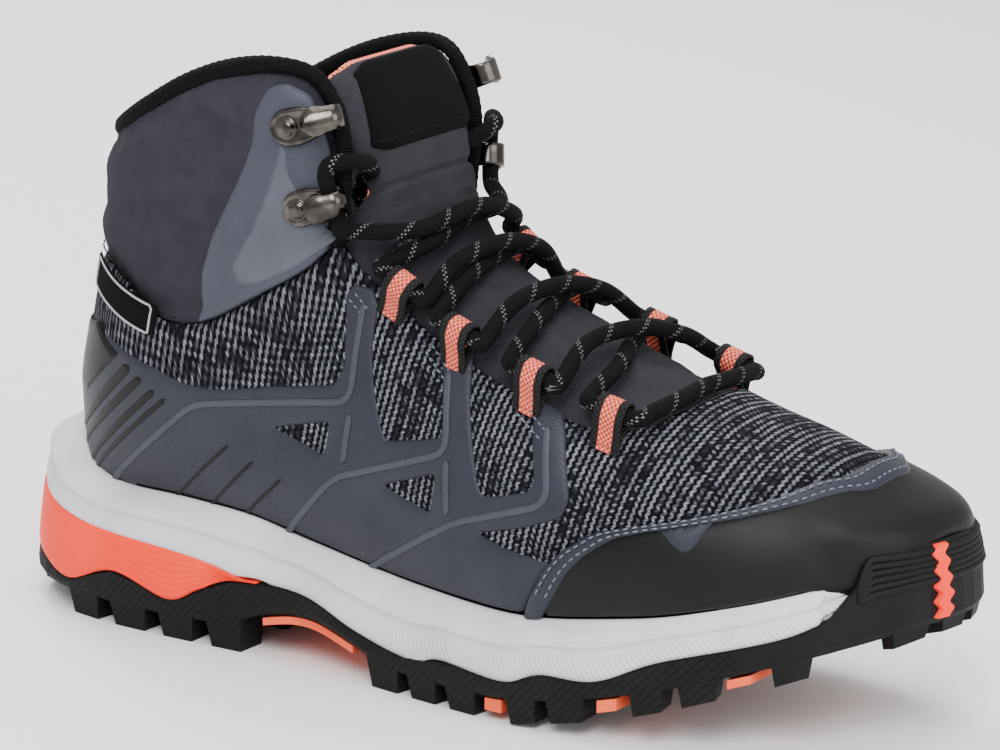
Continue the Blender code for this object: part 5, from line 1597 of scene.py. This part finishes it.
label_outline = rounded(patch_half + mirrored(patch_half)[::-1], 1.6, 5)
label = sheet("tongue_label", label_outline, -2.8, taper(-1.5, -0.85, 1.0), LABEL, step=1.6,
              extra=(0.4,))
piece(label, ["tongue_patch"], "tongue_top")
row_u = up(HINGE, 12.4)
rows = [[(row_u, c) for c in np.linspace(-14.5, 14.5, 25)]]
piece(add("tongue_label_stitching", *stitches(rows, -0.82, 1.7, 0.8, 0.24), THREAD_DARK), (),
      "tongue_top")
strip_half = [(up(TONGUE_TOP, -9.5), -24.0), (up(TONGUE_TOP, -5.0), -23.6), (up(TONGUE_TOP, -1.5), -21.0)]
strip_half += [(up(TONGUE_TOP, 1.5), -12)]
strip_outline = rounded(strip_half + mirrored(strip_half)[::-1], 1.5, 4)
edge_band = sheet("tongue_lining_band", strip_outline, -7.4, taper(-6.6, -5.2, 1.2), CORAL_LINING,
                  step=1.8)
piece(edge_band, ["tongue_lining"], "tongue_top")

# ---- collar binding ----
fine_roll = resampled(np.column_stack([roll, frontness]), 0.6)
line = FORM.at(fine_roll[:, 0], fine_roll[:, 1], -3.4 + 4.0 * fine_roll[:, 2])
radius = BINDING_RADIUS - 1.0 * fine_roll[:, 2]
packed = resampled(np.column_stack([line, radius]), 0.65)


def knitted_relief(far, turn):
    """The binding's slanting rows and the fine ribs across them."""
    return 0.10 * np.sin(far * FULL_TURN / 2.6 + 3 * np.sin(turn)) + 0.05 * np.cos(10 * turn)


binding = swept("collar_binding_roll", packed[:, :3], packed[:, 3], 20, BINDING, relief=knitted_relief)
piece(binding, ["collar_binding"])


# ---- hooks: a pressed plate with a raised rim, folded back over the lace, and a domed rivet ----
PLATE_LOW = 3.0  # centre of the base plate above the form
PLATE_RIM = 0.42
HOOK_TONGUE = ((1.2, 7.2), (2.4, 8.0), (3.8, 8.7), (5.2, 8.6), (6.5, 7.8), (7.5, 6.2), (8.2, 3.6))
RIVET = ((0, 3.5), (0.35, 3.45), (0.45, 3.0), (0.5, 2.7), (0.95, 2.45), (1.35, 1.8), (1.6, 0.9))
EYE_PROFILE = (-1.0, -0.9, -0.74, -0.62, -0.3, 0.0, 0.3, 0.62, 0.74, 0.9, 1.0)


def pressed(path, across, widths, rims, thickness=0.95):
    """(points, faces) of a metal strip whose outer face has a raised rim along both edges."""
    path = np.asarray(path, float)
    out = unit(np.cross(np.gradient(path, axis=0), across))
    rings = []
    for p, o, w, rim in zip(path, out, widths, rims):
        high = [0.0, 0.75, 0.75, 0.0, 0.0, 0.0, 0.0, 0.0, 0.75, 0.75, 0.0]
        edge = [0.35, 0.08, 0, 0, 0, 0, 0, 0, 0, 0.08, 0.35]
        top = [p + across * w / 2 * k + o * (thickness / 2 - e + rim * h)
               for k, h, e in zip(EYE_PROFILE, high, edge)]
        low = [p + across * w / 2 * k - o * thickness / 2 for k in (0.97, 0.0, -0.97)]
        rings.append(np.array(top + low))
    return loft(rings)


def eye_plate(centre, ahead, across, out, length, width, height):
    """(points, faces) of a small raised D-shaped plate with a sunk middle."""
    turn = np.linspace(0, 2 * np.pi, 28, endpoint=False)
    x = np.cos(turn)
    shape = np.column_stack([np.where(x > 0, x * 0.8, x), np.sin(turn)])
    rings = []
    steps = ((1.0, 0.0), (0.97, height), (0.80, height + 0.06), (0.72, height * 0.45),
             (0.3, height * 0.4))
    for share, h in steps:
        rings.append(centre + out * h + share * (
            shape[:, :1] * ahead * length / 2 + shape[:, 1:] * across * width / 2))
    return loft(rings)


def hook_piece(name, x, z, rise, side):
    rise = np.radians(rise)

    def spot(run, height):
        u, c = FORM.side_view(x + run * np.cos(rise), z + run * np.sin(rise), side > 0)
        return FORM.at(u, c, height)[0]

    root = spot(HOOK_REACH, PLATE_LOW)
    out = spot(HOOK_REACH, PLATE_LOW + 1) - root
    ahead = spot(HOOK_REACH + 1, HOOK_BASE) - spot(HOOK_REACH - 1, HOOK_BASE)
    ahead /= np.linalg.norm(ahead)
    across = np.cross(ahead, out)
    across *= np.sign(across[2]) / np.linalg.norm(across)
    bend = (HOOK_BASE + 2 * HOOK_BEND + 0.1 - PLATE_LOW) / 2
    held_from = spot(HOOK_REACH, HOOK_BASE)
    hook_holds[name] = (held_from + out * HOOK_BEND, across, ahead)
    path, widths, rims = [], [], []
    rear_end = -5.9 + np.array([0, 0.15, 0.5, 1.1, 1.9])
    for a in np.concatenate([rear_end, np.linspace(-3.2, HOOK_REACH - 1.2, 14)]):
        path.append(spot(a, PLATE_LOW))
        rear = np.sqrt(max(0.0, 1 - ((a + 0.4) / 5.6) ** 2)) if a < -0.4 else 1.0
        widths.append(max(1.4, 11.0 * rear) - 3.6 * float(smooth_step(a, 1.0, HOOK_REACH)))
        rim = smooth_step(a, -5.7, -4.8) * smooth_step(HOOK_REACH - a, 1.5, 4.0)
        rims.append(PLATE_RIM * float(rim))
    for angle in np.linspace(-84, 84, 19):
        turn = np.radians(angle)
        path.append(root + ahead * bend * 0.85 * np.cos(turn) + out * bend * (1 + np.sin(turn)))
        widths.append(6.6 + 0.5 * np.sin(turn) ** 2)
        rims.append(0.0)
    for back, width in HOOK_TONGUE:
        path.append(root - ahead * back + out * 2 * bend)
        widths.append(width)
        rims.append(0.10)
    parts = [pressed(path, across, widths, rims)]
    disc = spot(-1.2, PLATE_LOW + 0.4)
    normal = spot(-1.2, PLATE_LOW + 1) - spot(-1.2, PLATE_LOW)
    e1 = across - normal * (across @ normal)
    e2 = np.cross(normal, e1)
    turn = np.linspace(0, 2 * np.pi, 28, endpoint=False)
    rings = [disc + normal * h + r * (np.cos(turn)[:, None] * e1 + np.sin(turn)[:, None] * e2)
             for h, r in RIVET]
    rivet = loft(rings)
    plate_at = spot(4.6, PLATE_LOW + 0.42)
    plate_ahead = spot(5.6, PLATE_LOW) - spot(3.6, PLATE_LOW)
    plate_ahead /= np.linalg.norm(plate_ahead)
    parts.append(eye_plate(plate_at, plate_ahead, across, out, 5.6, 6.0, 0.5))
    points, faces = joined(parts)
    piece(add(name + "_plate", points, faces, METAL), [name])
    piece(add(name + "_dome", *rivet, METAL), [name + "_rivet"])


for level, (x, z, rise) in HOOK_AT.items():
    for side, label in SIDES:
        hook_piece(f"hook_{label}_{level}", x, z, rise, side)


# ---- lace loops ----
TAPE = 0.8  # thick
TAPE_WIDTH = 9.2
SELVEDGES = (
    (-1, 0.0), (-0.96, 1.0), (-0.72, 1.15), (-0.62, 0.85), (0, 0.9),
    (0.62, 0.85), (0.72, 1.15), (0.96, 1.0),
)  # the tape's upper face across its width, as shares of half the width and half the thickness
LOOP_FOOT = ((-9.5, 0.4), (-7.5, 0.95), (-5.6, 1.3), (-3.8, 1.6), (-2.0, 2.2))
LOOP_BACK = ((-2.6, 8.3), (-4.1, 5.8), (-5.3, 3.8), (-6.5, 2.4), (-8.0, 1.2))


def tape(path, across, width, thickness):
    """(points, faces, uv) of a woven tape with slightly thicker selvedges."""
    path = np.asarray(path, float)
    out = unit(np.cross(np.gradient(path, axis=0), across))
    far = travelled(path)
    full = list(SELVEDGES) + [(1, 0.0)] + [(k, -h) for k, h in SELVEDGES[:0:-1]]
    rings, uv = [], []
    for p, a, o, f in zip(path, across, out, far):
        rings.append(np.array([p + a * width / 2 * k + o * thickness / 2 * h for k, h in full]))
        uv += [(f, k * width / 2) for k, _ in full]
    return (*loft(rings), np.array(uv))


def loop_piece(name, u, c, side):
    reach = LACE_RADIUS + 0.75 + TAPE / 2
    path = [local(u, side * c, side, a, h) for a, h in LOOP_FOOT]
    eye = local(u, side * c, side, 0, LACE_AT_LOOP)
    out = local(u, side * c, side, 0, LACE_AT_LOOP + 1) - eye
    run = along_u(u, side * c)
    ahead = np.cross(run, out)
    ahead *= np.sign(ahead @ (local(u, side * c, side, 1, 5) - local(u, side * c, side, -1, 5)))
    for angle in np.linspace(-80, 95, 12):
        path.append(eye + reach * (ahead * np.cos(np.radians(angle)) + out * np.sin(np.radians(angle))))
    path += [local(u, side * c, side, a, h) for a, h in LOOP_BACK]
    smooth = curve_through(np.array(path), np.linspace(0, 1, 4 * len(path)))
    points, faces, uv = tape(smooth, np.array([run] * len(smooth)), TAPE_WIDTH, TAPE)
    piece(add(name + "_tape", points, faces, WEBBING, uv=uv), [name])


for k in range(4):
    for side, label in SIDES:
        loop_piece(f"lace_loop_{label}_{k + 1}", LOOP_U[k], LOOP_AT_C[k], side)


# ---- lace ----
def braid_relief(far, turn):
    a = np.cos(STRANDS / 2 * (turn + 2 * np.pi * far / LACE_TWIST))
    b = np.cos(STRANDS / 2 * (turn - 2 * np.pi * far / LACE_TWIST))
    return 0.11 * a * b


LACE_STEP = 0.34
for side, label in SIDES:
    route = lay(lace_route(side), 80)
    fine = resampled(curve_through(route, np.linspace(0, 1, 4000)), LACE_STEP)
    lace = swept(f"lace_{label}_braid", fine, LACE_RADIUS, 28, BRAID, relief=braid_relief)
    piece(lace, [f"lace_{label}"])
    world = (fine - ORIGIN) * MM

# ---- side tag ----
tag_outline = rounded(tag, 1.5, 5)
tag_body = sheet("side_tag_label", tag_outline, 2.1, taper(2.3, 2.95, 0.8), LABEL, step=1.6,
                 extra=(0.4,))
piece(tag_body, ["side_tag"], "side_tag")
centre = np.mean(np.array(tag), axis=0)
inner = [tuple(centre + (np.array(p) - centre) * 0.88) for p in tag]
border = resampled(np.vstack([inner, inner[:1]]), 1.0)
piece(ribbons("side_tag_border", [[tuple(p) for p in border]], 0.7, 2.8, 3.08, LABEL_EDGE, ends=False),
      (), "side_tag")


# ==== floor, light and camera ====================================================================
def light(name, place, target, size, power, colour=(1, 1, 1)):
    data = bpy.data.lights.new(name, "AREA")
    data.shape = "DISK"
    data.size = size
    data.energy = power
    data.color = colour
    obj = bpy.data.objects.new(name, data)
    obj.location = place
    obj.rotation_euler = (Vector(target) - Vector(place)).to_track_quat("-Z", "Y").to_euler()
    bpy.context.scene.collection.objects.link(obj)
    return obj


AIM = Vector((0.0, 0.0, 0.07))
light("key", (0.55, -1.05, 1.15), AIM, 0.9, 26.0)
light("fill", (1.25, -0.25, 0.55), AIM, 1.0, 9.0)
light("rim", (-0.9, 0.6, 0.9), AIM, 0.7, 12.0)
light("top", (0.0, 0.1, 1.4), AIM, 1.2, 12.0)

floor_mesh = bpy.data.meshes.new("floor")
floor_mesh.from_pydata([(-6, -6, 0), (6, -6, 0), (6, 6, 0), (-6, 6, 0)], [], [(0, 1, 2, 3)])
floor_obj = bpy.data.objects.new("floor", floor_mesh)
floor_paint = Paint("floor_white", (0.93, 0.93, 0.93), 0.6)
floor_obj.data.materials.append(floor_paint.finish(floor_paint.blend(
    floor_paint.noise(400.0), (0.925, 0.925, 0.925), (0.94, 0.94, 0.94))))
floor_obj.location.z = float(cad_box[0][2])
bpy.context.scene.collection.objects.link(floor_obj)

world = bpy.data.worlds.new("studio")
world.use_nodes = True
world.node_tree.nodes["Background"].inputs["Color"].default_value = (1, 1, 1, 1)
world.node_tree.nodes["Background"].inputs["Strength"].default_value = 1.0
bpy.context.scene.world = world

VIEW_TURN, VIEW_RISE, VIEW_FAR = np.radians(34.0), np.radians(15.0), 1.425
VIEW_AIM = Vector((0.00562, -0.00065, 0.0762))
back = Vector((np.sin(VIEW_TURN) * np.cos(VIEW_RISE), -np.cos(VIEW_TURN) * np.cos(VIEW_RISE),
               np.sin(VIEW_RISE)))
lens = bpy.data.cameras.new("camera")
lens.lens = 186.8
lens.sensor_width = 36.0
lens.shift_x = 0.0034
lens.shift_y = 0.0197
camera = bpy.data.objects.new("camera", lens)
camera.location = VIEW_AIM + back * VIEW_FAR
camera.rotation_euler = (-back).to_track_quat("-Z", "Y").to_euler()
bpy.context.scene.collection.objects.link(camera)
bpy.context.scene.camera = camera
